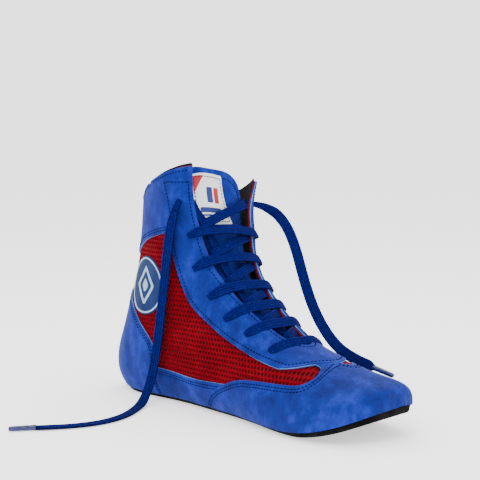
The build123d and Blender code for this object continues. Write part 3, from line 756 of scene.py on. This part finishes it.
def pierced_mesh(side):
    """Tiles of knitted mesh, each with an oval hole, over the window between the suede."""
    grid = unwrapped(side)
    columns = int((SPAN_X[1] - SPAN_X[0]) / CELL_WIDTH)
    rows = int((SPAN_Z[1] - SPAN_Z[0]) / CELL_HEIGHT)
    i, j = np.meshgrid(np.arange(columns), np.arange(rows), indexing="ij")
    x = SPAN_X[0] + (i + 0.5 + 0.5 * (j % 2)) * CELL_WIDTH
    z = SPAN_Z[0] + (j + 0.5) * CELL_HEIGHT
    x, z = x.ravel(), z.ravel()
    middle = look_up(grid, x, z)
    good = np.isfinite(middle).all(axis=1) & (x < SPAN_X[1] - 4)
    x, z, middle = x[good], z[good], middle[good]
    here = fields(middle[:, :3])
    cover = np.maximum.reduce([here[n] for n in ("heel", "vamp", "strip", "stay", "collar")])
    kept = (cover < 4) & (here["top"] > 1) & (here["throat"] > 0.5) & (here["sole"] > 2)
    kept &= side * middle[:, 1] > -1.5
    x, z = x[kept], z[kept]
    half_x, half_z = CELL_WIDTH / 2, CELL_HEIGHT / 2
    outer = [(-1, -1), (0, -1), (1, -1), (1, 0), (1, 1), (0, 1), (-1, 1), (-1, 0)]
    outer = np.array(outer) * (half_x, half_z)
    turn = np.radians([-135, -90, -45, 0, 45, 90, 135, 180])
    oval = np.column_stack((np.cos(turn) * HOLE_WIDTH / 2, np.sin(turn) * HOLE_HEIGHT / 2))
    c, s = math.cos(HOLE_TILT), math.sin(HOLE_TILT)
    oval = oval @ np.array(((c, s), (-s, c)))
    between = outer * 0.42 + oval * 0.58
    rings = []
    for ring, depth in ((outer, 0.12), (between, 0.0), (oval * 1.02, 0.12), (oval * 0.92, 0.75)):
        at = look_up(grid, x[:, None] + ring[:, 0], z[:, None] + ring[:, 1])
        rings.append(at[..., :3] - at[..., 3:] * (MESH_DEPTH + depth))
    points = np.stack(rings, axis=1).reshape(-1, 3)
    start = np.arange(len(x))[:, None] * 32
    k = np.arange(8)
    faces = []
    for ring in range(3):
        a = start + ring * 8 + k
        b = start + ring * 8 + (k + 1) % 8
        quads = np.stack((a, b, b + 8, a + 8), axis=-1).reshape(-1, 4)
        faces.append(quads)
    faces = np.concatenate(faces)
    good = np.isfinite(points[faces].reshape(len(faces), -1)).all(axis=1)
    points = np.nan_to_num(points)
    faces = faces[good]
    if side == MEDIAL:
        faces = faces[:, ::-1]
    return points, faces


def red_edge(f, t):
    """Plain bound strip of the mesh along the throat and the topline."""
    return 3.2 - np.minimum(np.abs(f["throat"]), np.abs(f["top"]))


for side_name, side in SIDES.items():
    points, faces = pierced_mesh(side)
    node = "quarter_mesh_" + side_name
    add([node], mesh_object(node + "_knit", points, faces, [mesh_red]))
    add([node], panel(
        node + "_binding", fine_table, fine_tris,
        [uppers, side_only(side), red_edge], 1.55, 2.7, [red_thread, red_thread], roll=0.55,
    ))


def in_notch(f, t):
    """The patch of mesh that shows between the vamp and the eyestay."""
    return inside_by(in_throat_view(t[:, :3]), notch_outline) + 3.0


add(["quarter_mesh_medial"], panel(
    "quarter_mesh_medial_tip", fine_table, fine_tris,
    [lambda f, t: t[:, :3] @ FORWARD - 46, in_notch, lambda f, t: f["throat"] - 1], 1.3, 2.6,
    [mesh_red, mesh_red], roll=0.2,
))

# ---------------------------------------------------------------- black lining
coarse_grid = form_grid(0, 150, 110)
coarse_tris = outward(coarse_grid.reshape(-1, 3), grid_triangles(coarse_grid.shape[0], 110))
coarse_points = coarse_grid.reshape(-1, 3)
coarse_fields = fields(coarse_points)
coarse_table = np.column_stack(
    (coarse_points, vertex_normals(coarse_points, coarse_tris))
    + tuple(coarse_fields[n] for n in FIELD_NAMES)
)


def over_topline(f, t):
    """The lining stands a little above the suede."""
    return np.minimum(np.minimum(f["top"] + 1.2, f["throat"]), f["sole"])


for side_name, side in SIDES.items():
    add(["lining_" + side_name], panel(
        "lining_" + side_name + "_cloth", coarse_table, coarse_tris,
        [over_topline, side_only(side)], 2.7, 4.0, [lining_black, lining_black],
        back=True, roll=0.9,
    ))

# ---------------------------------------------------------------- badges
BADGE_X, BADGE_Z, BADGE_RADIUS, BADGE_DEPTH = -84.0, 92.0, 23.0, 0.4
RIM_OUTSIDE, RIM_INSIDE = 21.9, 20.9
DIAMOND_OUTSIDE, DIAMOND_INSIDE, HEART = 12.5, 9.8, 4.5


def from_badge(t):
    """Distance from the middle of the badge, in the side view."""
    return np.hypot(t[:, 0] - BADGE_X, t[:, 2] - BADGE_Z)


def diamond(t, size):
    """Positive inside a standing diamond on the badge."""
    return size - np.abs(t[:, 0] - BADGE_X) - np.abs(t[:, 2] - BADGE_Z) * 0.8


for side_name, side in SIDES.items():
    parts = [
        ("base", badge_blue, 1.2, 0.0, [lambda f, t: BADGE_RADIUS - from_badge(t)]),
        ("rim", badge_white, 0.2, -0.25,
         [lambda f, t: RIM_OUTSIDE - from_badge(t), lambda f, t: from_badge(t) - RIM_INSIDE]),
        ("diamond", badge_white, 0.2, -0.25,
         [lambda f, t: diamond(t, DIAMOND_OUTSIDE), lambda f, t: -diamond(t, DIAMOND_INSIDE)]),
        ("heart", badge_white, 0.2, -0.2, [lambda f, t: diamond(t, HEART)]),
    ]
    for part, finish_of, lower, upper, cuts in parts:
        near = [side_only(side), lambda f, t: 60 - np.abs(t[:, 2] - BADGE_Z)]
        add(["badge_" + side_name], panel(
            f"badge_{side_name}_{part}", fine_table, fine_tris, near + cuts,
            BADGE_DEPTH + upper, BADGE_DEPTH + lower, [finish_of, finish_of], roll=0.2,
        ))

# ---------------------------------------------------------------- tongue
TONGUE_OUTLINE = [
    (-16, -18), (-20, 0), (-23, 40), (-26.5, 100), (-29, 140), (-29, 161), (-26, 168),
    (-19, 168), (-9, 166.3), (4.3, 164.9), (16.6, 161.8), (25, 156), (29, 147), (29, 128),
    (26.5, 95), (23, 40), (20, 0), (16, -18), (0, -22), (-16, -18),
]
LABEL_OUTLINE = np.array([(-25.5, 166.5), (3, 162.5), (12.5, 131), (-20, 132)], float)
tongue_dense = form_grid(TONGUE_DEPTH, 330, 230, ribs=RIBS[4:], tip=False)
dense_tris = outward(tongue_dense.reshape(-1, 3), grid_triangles(330, 230))
tongue_points = tongue_dense.reshape(-1, 3)
tongue_normals = vertex_normals(tongue_points, dense_tris)
TONGUE_FRONT, TONGUE_LOW = 38, -30  # the tongue lies ahead of and above these
tongue_front = (tongue_points @ FORWARD > TONGUE_FRONT) & (tongue_points @ RISE > TONGUE_LOW)
kept = tongue_front[dense_tris].all(axis=1)
used, compact = np.unique(dense_tris[kept], return_inverse=True)
tongue_points, tongue_normals = tongue_points[used], tongue_normals[used]
tongue_mesh = compact.reshape(-1, 3)
tongue_view = in_throat_view(tongue_points)
tongue_inside = inside_by(tongue_view, smooth_line(TONGUE_OUTLINE, 0.8))
label_inside = inside_by(tongue_view, LABEL_OUTLINE)
blank = np.zeros((len(tongue_points), len(FIELD_NAMES)))
blank[:, 0], blank[:, 1] = tongue_inside, label_inside
tongue_table = np.column_stack((tongue_points, tongue_normals, blank))


def tongue_part(name, node, cuts, upper, lower, materials, roll=0.5, seams=(), back=True):
    """A layer of the tongue between two depths below its outer face."""
    obj = panel(
        name, tongue_table, tongue_mesh, cuts, upper, lower, materials, back, roll, seams
    )
    return add([node] if node else [], obj, "tongue")


tongue_part("tongue_suede", "tongue_outer", [lambda f, t: f["top"]], 0.0, 1.9, [suede, suede],
            roll=1.0, seams=(("top", 3.2),))
tongue_foam = tongue_part("tongue_foam", "tongue_pad", [lambda f, t: f["top"] - 0.4], 1.4, 4.4,
                          [foam_black, foam_black], roll=1.3)
tongue_part("tongue_cloth", "tongue_lining", [lambda f, t: f["top"]], 4.2, 5.4,
            [lining_black, lining_black], roll=0.8)

LABEL_WIDTH, LABEL_HEIGHT = 29, 35
LABEL_CORNER = LABEL_OUTLINE[0]
LABEL_DOWN, LABEL_ACROSS = LABEL_OUTLINE[3] - LABEL_CORNER, LABEL_OUTLINE[1] - LABEL_CORNER


def on_label(t):
    """Across and down the label, each from 0 to 1."""
    view = in_throat_view(t[:, :3]) - LABEL_CORNER
    solved = np.linalg.solve(np.column_stack((LABEL_ACROSS, LABEL_DOWN)), view.T)
    return solved[0], solved[1]


def label_box(left, right, top, bottom):
    """Cut to a box on the label, from shares of its width and height."""

    def inside(f, t):
        across, down = on_label(t)
        wide = np.minimum(across - left, right - across) * LABEL_WIDTH
        high = np.minimum(down - top, bottom - down) * LABEL_HEIGHT
        return np.minimum(wide, high)

    return inside


def label_corner(f, t):
    """Cut to the triangle in the label's upper corner."""
    across, down = on_label(t)
    return np.minimum(np.minimum(across - 0.03, down - 0.03) * 40, (0.36 - across - down) * 28)


tongue_part("label_cloth", "tongue_label", [lambda f, t: f["throat"]], -0.6, 0.05,
            [white_cloth, white_cloth], roll=0.25, seams=(("throat", 1.6),), back=False)
label_marks = [
    ("red_corner", label_red, label_corner),
    ("blue_bar_wide", label_blue, label_box(0.14, 0.86, 0.60, 0.70)),
    ("blue_bar_thin", label_blue, label_box(0.14, 0.86, 0.745, 0.775)),
    ("red_bar_thin", label_red, label_box(0.14, 0.86, 0.82, 0.85)),
    ("blue_block", label_blue, label_box(0.42, 0.62, 0.22, 0.50)),
    ("red_block", label_red, label_box(0.68, 0.84, 0.22, 0.50)),
]
for mark, finish_of, cut in label_marks:
    tongue_part("label_" + mark, "tongue_label", [cut, lambda f, t: f["throat"] - 1.0],
                -0.72, -0.5, [finish_of, finish_of], roll=0.1, back=False)


# ---------------------------------------------------------------- stitching
def contour(points, normals, triangles, value, keep):
    """Lines on a mesh where value crosses zero, as lists of places and normals."""
    above = value >= 0
    count = above[triangles].sum(axis=1)
    chosen = triangles[(count == 1) | (count == 2)]
    links, places_on = {}, {}
    for tri in chosen.tolist():
        ends = []
        for a, b in ((tri[0], tri[1]), (tri[1], tri[2]), (tri[2], tri[0])):
            if above[a] != above[b]:
                key = (a, b) if a < b else (b, a)
                ends.append(key)
        if len(ends) == 2:
            links.setdefault(ends[0], []).append(ends[1])
            links.setdefault(ends[1], []).append(ends[0])
    for key in links:
        a, b = key
        share = value[a] / (value[a] - value[b])
        places_on[key] = (
            points[a] + (points[b] - points[a]) * share,
            normals[a] + (normals[b] - normals[a]) * share,
            keep[a] + (keep[b] - keep[a]) * share,
        )
    lines, seen = [], set()
    starts = sorted(links, key=lambda key: (len(links[key]), key))
    for start in starts:
        if start in seen:
            continue
        line, here = [], start
        while here is not None:
            seen.add(here)
            line.append(places_on[here])
            here = next((n for n in links[here] if n not in seen), None)
        lines.append(line)
    return lines


def tube_faces(rings, size):
    """Quads between rings of size points each."""
    return [
        (i * size + k, i * size + j, (i + 1) * size + j, (i + 1) * size + k)
        for i in range(rings - 1)
        for k, j in ((k, (k + 1) % size) for k in range(size))
    ]


def stitch_row(lines, depth, pitch=2.8, length=2.0, radius=0.40):
    """Short rounded stitches along lines; returns points and faces."""
    ring = 6
    turn = np.linspace(0, 2 * np.pi, ring, endpoint=False)
    profile = [(-0.5, 0.3, -0.12), (-0.36, 0.85, 0.08), (0.0, 1.0, 0.18), (0.36, 0.85, 0.08),
               (0.5, 0.3, -0.12)]
    all_points, all_faces, offset = [], [], 0
    for line in lines:
        at = np.array([p for p, _, _ in line])
        up = np.array([n for _, n, _ in line])
        good = np.array([k for _, _, k in line])
        if len(at) < 3:
            continue
        run = distances(at)
        stops = np.arange(pitch * 0.6, run[-1] - pitch * 0.4, pitch)
        if not len(stops):
            continue

        def value_at(stop, values):
            return np.column_stack([np.interp(stop, run, column) for column in values.T])

        middle, normal = value_at(stops, at), unit(value_at(stops, up))
        ahead = unit(value_at(stops + 0.9, at) - value_at(stops - 0.9, at))
        aside = np.cross(normal, ahead)
        clear = np.interp(stops, run, good) > 0
        for m, n, a, b in zip(middle[clear], normal[clear], ahead[clear], aside[clear]):
            for place_on, wide, lift in profile:
                centre = m + a * (place_on * length) + n * (lift - depth)
                for t in turn:
                    all_points.append(
                        centre + (b * math.cos(t) + n * math.sin(t) * 0.8) * (radius * wide)
                    )
            all_faces += [
                tuple(corner + offset for corner in face) for face in tube_faces(len(profile), ring)
            ]
            offset += ring * len(profile)
    return all_points, all_faces


def sew(name, table, triangles, rows, body="boot"):
    """Every stitch row of one sort, as one piece of thread."""
    points, normals = table[:, :3], table[:, 3:6]
    columns = {n: table[:, i + 6] for i, n in enumerate(FIELD_NAMES)}
    all_points, all_faces = [], []
    for value, keep, depth in rows:
        lines = contour(points, normals, triangles, value(columns), keep(columns))
        some_points, some_faces = stitch_row(lines, depth)
        offset = len(all_points)
        all_points += some_points
        all_faces += [tuple(i + offset for i in face) for face in some_faces]
    obj = mesh_object(name, np.array(all_points), all_faces, [stitch_navy])
    return add([], obj, body)


def least(*values):
    """The least of several fields at each point."""
    return np.minimum.reduce(values)


def open_suede(f):
    """Clear of the eyestay and of the outer edges."""
    return least(-f["stay"] - 0.3, f["top"] - 1, f["throat"] - 1, f["sole"] - 0.8)


rows = [(lambda f: f["stay"] - 2.8, lambda f: least(f["top"] - 2, f["throat"] - 3.6), -0.25)]
rows.append((lambda f: f["throat"] - 2.6, lambda f: least(f["stay"] - 1.5, f["top"] - 2), -0.25))
for seam in (2.3, 4.3):  # two rows along each edge
    rows.append((lambda f, d=seam: f["vamp"] - d, lambda f: least(open_suede(f), -f["heel"]), 0.2))
    rows.append((lambda f, d=seam: f["heel"] - d, open_suede, 0.2))
    rows.append((lambda f, d=seam: f["collar"] - d, open_suede, 0.2))
    rows.append((
        lambda f, d=seam: f["strip"] - d,
        lambda f: least(open_suede(f), -f["heel"] - 0.3, -f["vamp"] - 0.3), 0.2,
    ))
rows.append((
    lambda f: f["top"] - 2.4, lambda f: least(-f["stay"], f["collar"] - 1, f["throat"] - 3), 0.0
))
sew("thread_upper", fine_table, fine_tris, rows)
sew("thread_tongue", tongue_table, tongue_mesh,
    [(lambda f: f["top"] - 3.2, lambda f: -f["throat"] - 0.5, 0.2)], "tongue")
sew("thread_label", tongue_table, tongue_mesh,
    [(lambda f: f["throat"] - 1.6, lambda f: f["top"], -0.45)], "tongue")

# ---------------------------------------------------------------- laces
LACE_WIDTH, LACE_THICK, BRAID = 8.5, 2.4, 5.5
LACE_ROWS = [(29, 14.8), (30, 36.5), (31, 56.6), (31, 78.6), (31.5, 104.8), (33, 126.9)]
TOP_HOLE = {LATERAL: (-37, 151.5), MEDIAL: (40.5, 144)}
THROAT_HALF = [9.5, 15, 17.2, 20, 23.7, 26.5, 33]
RISE_V, SIDE_V = tuple(RISE), (0, 1, 0)
OUTSIDE, INSIDE, BAR_MIDDLE = -1.9, 5.5, 0.2
CROSSING = (1.5, 2.0, 2.4)  # depths where a crossing run rides over the long run
LONG_RUN = [
    (-31, 147, 5.8), (-26, 139, 5.9), (-19, 129.5, 5.9), (-15.5, 113, 5.9), (-12, 92, 5.8),
    (-9.5, 68, 5.6), (-8.5, 46, 5.2), (1, 30, 5.1),
]
INNER_DROP = [3, 0, 1, 4, 6, 8]  # the inner hole of each row sits this much lower
MEDIAL_HOLES = [(half, rise - drop) for (half, rise), drop in zip(LACE_ROWS, INNER_DROP)]
MEDIAL_HOLES.append(TOP_HOLE[MEDIAL])

FREE_RUN = {
    LATERAL: [
        (-43.5, -43.6, 146), (-46.5, -43.8, 134), (-50, -43, 119),
        (-53.5, -42.5, 99), (-57, -42.6, 77), (-60, -43.2, 55), (-63.5, -43.8, 36),
        (-67, -44.6, 20), (-69, -48.5, 8), (-66, -56, 2.4), (-59, -69, 1.5), (-51, -84, 1.5),
        (-47, -100, 1.5), (-47.5, -115, 1.5), (-52, -129, 1.5), (-60, -143, 1.6),
        (-68, -155, 1.9),
    ],
    MEDIAL: [
        (-31, 54, 150.5), (-24, 56, 146.5), (-14.5, 56.6, 137),
        (-5, 55.4, 122), (3.5, 52.7, 105), (12.5, 49.3, 89), (24, 45.2, 73), (38, 41.3, 59),
        (53, 37.6, 49), (69, 34.3, 44), (82, 32.2, 41.4), (92, 31, 39.8),
    ],
}
AGLET_WAY = {LATERAL: (-8, -12, 0), MEDIAL: (10, -1.2, -1.6)}


def on_form(across, rise, depth):
    """Point below the outer face of the upper, placed in the throat view."""
    hit, normal = throat_hit(across, rise)
    return hit - normal * depth


for side in (LATERAL, MEDIAL):
    corner = on_form(*TOP_HOLE[side], -4.5)
    FREE_RUN[side].insert(0, tuple((corner + FREE_RUN[side][0]) / 2))


def lace_route():
    """Points of the laced stretch, each with the way its width lies, its width and thickness."""
    full, folded, thick = LACE_WIDTH, 4.6, LACE_THICK
    out_of_top = (0.8, 0, -0.6)
    route = [(FREE_RUN[LATERAL][0], (1, 0.15, 0), 6.5, thick)]
    route.append((on_form(*TOP_HOLE[LATERAL], -2.6), out_of_top, folded, 3.2))
    route.append((on_form(*TOP_HOLE[LATERAL], INSIDE), out_of_top, folded, 3.2))
    for i, (across, rise, depth) in enumerate(LONG_RUN):
        way = (0.5, 0.6, -0.3) if i == 0 else SIDE_V
        route.append((on_form(across, rise, depth), way, full, thick))
    route.append((on_form(16, 17, INSIDE), (-0.5, 0.5, 0.5), 6.5, thick))
    for row, (half, rise) in enumerate(LACE_ROWS):
        edge, inner_rise = THROAT_HALF[row], MEDIAL_HOLES[row][1]
        bar = [(half, INSIDE, folded, 3.0), (half, OUTSIDE + 0.2, folded, 3.2),
               (half - 3.5, OUTSIDE, 7.4, thick), (edge, OUTSIDE, full, thick)]
        bar += [(0, BAR_MIDDLE, full, thick)] + [(-a, d, w, h) for a, d, w, h in bar[::-1]]
        for across, depth, width, high in bar:
            share = (half - across) / (2 * half)
            middle = on_form(across, inner_rise + (rise - inner_rise) * share, depth)
            route.append((middle, RISE_V, width, high))
        far_half, far_rise = MEDIAL_HOLES[row + 1]
        far_edge = THROAT_HALF[row + 1]
        crossing = [(-(half + edge) / 2, INSIDE), (-edge + 1.5, INSIDE), (-edge + 5, CROSSING[0]),
                    ((far_edge - edge) / 2, CROSSING[1]), (far_edge - 5, CROSSING[2]),
                    (far_edge - 1.5, INSIDE), ((far_half + far_edge) / 2, INSIDE)]
        for across, depth in crossing:
            share = (across + half) / (half + far_half)
            middle = on_form(across, rise + (far_rise - rise) * share, depth)
            route.append((middle, RISE_V, 7.8, thick))
    route.append((on_form(*TOP_HOLE[MEDIAL], INSIDE), RISE_V, folded, 3.2))
    route.append((on_form(*TOP_HOLE[MEDIAL], -2.6), RISE_V, folded, 3.2))
    route.append((FREE_RUN[MEDIAL][0], (0, -0.3, 1), 6.5, thick))
    return route


def quadratic(values, per_span=7):
    """A smooth curve drawn towards each point in turn, through the first and the last."""
    values = np.asarray(values, float)
    middles = (values[1:] + values[:-1]) / 2
    result = []
    for i in range(1, len(values) - 1):
        a = values[0] if i == 1 else middles[i - 1]
        b = values[-1] if i == len(values) - 2 else middles[i]
        t = np.linspace(0, 1, per_span, endpoint=i == len(values) - 2)[:, None]
        result.append((1 - t) ** 2 * a + 2 * t * (1 - t) * values[i] + t**2 * b)
    return np.concatenate(result)


def section(count=22):
    """Half-unit outline of the flat braid: across, high, and its place across for the UV map."""
    turn = np.linspace(-np.pi / 2, np.pi / 2, count)
    across = np.sin(turn) * 0.5
    high = 0.5 * np.maximum(1 - np.abs(2 * across) ** 4, 0) ** 0.25
    high *= 1 - 0.26 * np.cos(across * 4 * np.pi) ** 2
    top = np.column_stack((across, high, across + 0.5))
    low = np.column_stack((across, -high, across + 0.5))[::-1][1:-1]
    return np.concatenate((top, low))


SECTION = section()


def ribbon(name, path, ways, widths, heights):
    """Flat braid swept along a path; ways are the directions its width lies in."""
    ahead = unit(np.gradient(path, axis=0))
    across = unit(ways - (ways * ahead).sum(axis=1)[:, None] * ahead)
    up = np.cross(ahead, across)
    run = distances(path)
    count, size = len(path), len(SECTION)
    points = (
        path[:, None]
        + across[:, None] * (SECTION[:, 0][None, :] * widths[:, None])[..., None]
        + up[:, None] * (SECTION[:, 1][None, :] * heights[:, None])[..., None]
    ).reshape(-1, 3)
    u = np.repeat(run / BRAID, size)
    v = np.tile(SECTION[:, 2], count)
    faces = tube_faces(count, size)
    faces.append(list(range(size))[::-1])
    faces.append([(count - 1) * size + k for k in range(size)])
    return mesh_object(name, points, faces, [lace_navy], uv=np.column_stack((u, v)))


route = lace_route()
spots = quadratic([r[0] for r in route])
ways = quadratic([r[1] for r in route])
sizes = quadratic([(r[2], r[3]) for r in route])
add(["lace"], ribbon("lace_braid", spots, ways, sizes[:, 0], sizes[:, 1]))


def nurbs_points(name, points):
    """The points of a smooth Blender curve that follows the given ones."""
    curve = bpy.data.curves.new(name, "CURVE")
    curve.dimensions = "3D"
    curve.resolution_u = 8
    spline = curve.splines.new("NURBS")
    spline.points.add(len(points) - 1)
    for knot, point in zip(spline.points, points):
        knot.co = (*point, 1.0)
    spline.order_u = 3
    spline.use_endpoint_u = True
    holder = bpy.data.objects.new(name, curve)
    bpy.context.scene.collection.objects.link(holder)
    bpy.context.view_layer.update()
    line = bpy.data.meshes.new_from_object(holder)
    path = np.array([v.co for v in line.vertices])
    bpy.data.objects.remove(holder)
    return path


def lathe(name, start, way, profile, material, sides=20):
    """A turned piece: profile is (distance along, radius) pairs."""
    way = np.asarray(way, float) / np.linalg.norm(way)
    aside = np.cross(way, (0, 0, 1.0))
    aside /= np.linalg.norm(aside)
    up = np.cross(aside, way)
    turn = np.linspace(0, 2 * np.pi, sides, endpoint=False)
    points = []
    for out, radius in profile:
        for t in turn:
            points.append(start + way * out + (aside * math.cos(t) + up * math.sin(t)) * radius)
    faces = [face[::-1] for face in tube_faces(len(profile), sides)]
    faces.append(tuple(range(sides)))
    faces.append(tuple((len(profile) - 1) * sides + k for k in reversed(range(sides))))
    return mesh_object(name, np.array(points), faces, [material])


AGLET_PROFILE = [
    (-0.5, 1.75), (-0.2, 2.0), (0.4, 2.05), (3.6, 2.0), (4.0, 1.8), (4.5, 1.8), (4.9, 2.0),
    (9.0, 1.95), (9.4, 1.78), (9.9, 1.78), (10.3, 1.95), (16.5, 1.85), (18.4, 1.6), (19.0, 1.1),
]
TO_CAMERA = np.array((0.73, -0.68, 0.07))
for side_name, side in SIDES.items():
    points = np.array(FREE_RUN[side], float)
    path = nurbs_points("line_" + side_name, place(points))
    spots = path * 1000 + (MIDDLE_X, 0, 0)
    ahead = unit(np.gradient(spots, axis=0))
    facing = np.cross(ahead, TO_CAMERA)
    lying = np.cross(ahead, (0, 0, 1.0))
    share = np.linspace(0, 1, len(spots))[:, None]
    if side == LATERAL:
        hanging = np.tile((1.0, 0.15, 0.0), (len(spots), 1))
        low = np.clip((14 - spots[:, 2]) / 10, 0, 1)[:, None]
        ways = hanging * (1 - low) + lying * np.sign((lying[-1] * hanging[-1]).sum()) * low
    else:
        first = np.array((0, -0.3, 1.0))
        turn_in = np.clip(share * 5, 0, 1)
        sign = np.sign((facing[len(facing) // 6] * first).sum()) or 1.0
        ways = first * (1 - turn_in) + facing * sign * turn_in
    run = distances(spots)
    left = run[-1] - run
    widths = np.interp(left, [0, 5], [4.2, LACE_WIDTH]) + np.interp(run, [0, 9], [-2.0, 0])
    heights = np.interp(left, [0, 5], [3.2, LACE_THICK])
    braid = add(["lace_end_" + side_name],
                ribbon(f"lace_end_{side_name}_braid", spots, ways, widths, heights))
    tip = points[-1] + ((0, 0, 0.3) if side == LATERAL else (0, 0, 0))
    aglet = add(["aglet_" + side_name],
                lathe(f"aglet_{side_name}_film", tip, AGLET_WAY[side], AGLET_PROFILE, aglet_film))

# ---------------------------------------------------------------- kept CAD pieces
CAD_FINISH = {
    "outsole": outsole_black,
    "insole_board": board,
    "footbed": lining_black,
    "heel_stiffener": board,
    "vamp_backing": lining_black,
    "tongue_anchor": lining_black,
}
for node, finish_of in CAD_FINISH.items():
    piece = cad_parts[node]
    piece.data.materials.clear()
    piece.data.materials.append(finish_of)

# ---------------------------------------------------------------- floor, lights and camera
floor_finish = Nodes("floor_pale", roughness=0.95, specular=0.0)
floor_finish.paint(floor_finish.ramp(
    floor_finish.noise(3.0), [(0.3, colour(0.93, 0.93, 0.93)), (0.7, colour(0.94, 0.94, 0.94))]
))
floor_finish.shader.inputs["Emission Color"].default_value = colour(1, 1, 1)
floor_finish.shader.inputs["Emission Strength"].default_value = 0.8
AWAY = np.array((-0.682, 0.731, 0.0))  # level direction from the camera to the boot
ASIDE = np.array((0.731, 0.682, 0.0))
NEAR, CURVE_START, CURVE_RADIUS, WALL_TOP, HALF_WIDTH = -9.0, 2.6, 1.6, 9.0, 12.0
arc = np.linspace(0, np.pi / 2, 33)
profile = [(NEAR, 0.0)] + [
    (CURVE_START + CURVE_RADIUS * math.sin(a), CURVE_RADIUS * (1 - math.cos(a))) for a in arc
] + [(CURVE_START + CURVE_RADIUS, WALL_TOP)]
backdrop_points = [
    tuple(AWAY * out + ASIDE * wide + np.array((0, 0, high)))
    for out, high in profile for wide in (-HALF_WIDTH, HALF_WIDTH)
]
backdrop_faces = [(2 * i, 2 * i + 1, 2 * i + 3, 2 * i + 2) for i in range(len(profile) - 1)]
backdrop = bpy.data.meshes.new("backdrop")
backdrop.from_pydata(backdrop_points, [], backdrop_faces)
backdrop.polygons.foreach_set("use_smooth", np.ones(len(backdrop.polygons), bool))
backdrop.materials.append(floor_finish.material)
floor = bpy.data.objects.new("backdrop", backdrop)
bpy.context.scene.collection.objects.link(floor)

world = bpy.data.worlds.new("studio")
bpy.context.scene.world = world
world.use_nodes = True
world.node_tree.nodes["Background"].inputs["Color"].default_value = colour(1, 1, 1)
world.node_tree.nodes["Background"].inputs["Strength"].default_value = 1.5

LIGHTS = [
    ("key", (0.35, -0.85, 1.15), 0.8, 14.0),
    ("fill", (1.2, 0.2, 0.5), 0.9, 4.0),
    ("top", (-0.2, 0.3, 1.4), 1.0, 10.0),
]
for name, spot, size, power in LIGHTS:
    lamp = bpy.data.lights.new(name, "AREA")
    lamp.size, lamp.energy = size, power
    holder = bpy.data.objects.new(name, lamp)
    bpy.context.scene.collection.objects.link(holder)
    holder.location = spot
    holder.rotation_euler = (Vector((0, 0, 0.08)) - Vector(spot)).to_track_quat("-Z", "Y").to_euler()

camera_data = bpy.data.cameras.new("photo_view")
camera_data.lens, camera_data.sensor_width = 82.7, 36.0
camera = bpy.data.objects.new("photo_view", camera_data)
bpy.context.scene.collection.objects.link(camera)
camera.location = place((565.1, -618.5, 200.8))
target = Vector(place((-13.7, 0, 129.7)))
camera.rotation_euler = (target - camera.location).to_track_quat("-Z", "Y").to_euler()
bpy.context.scene.camera = camera
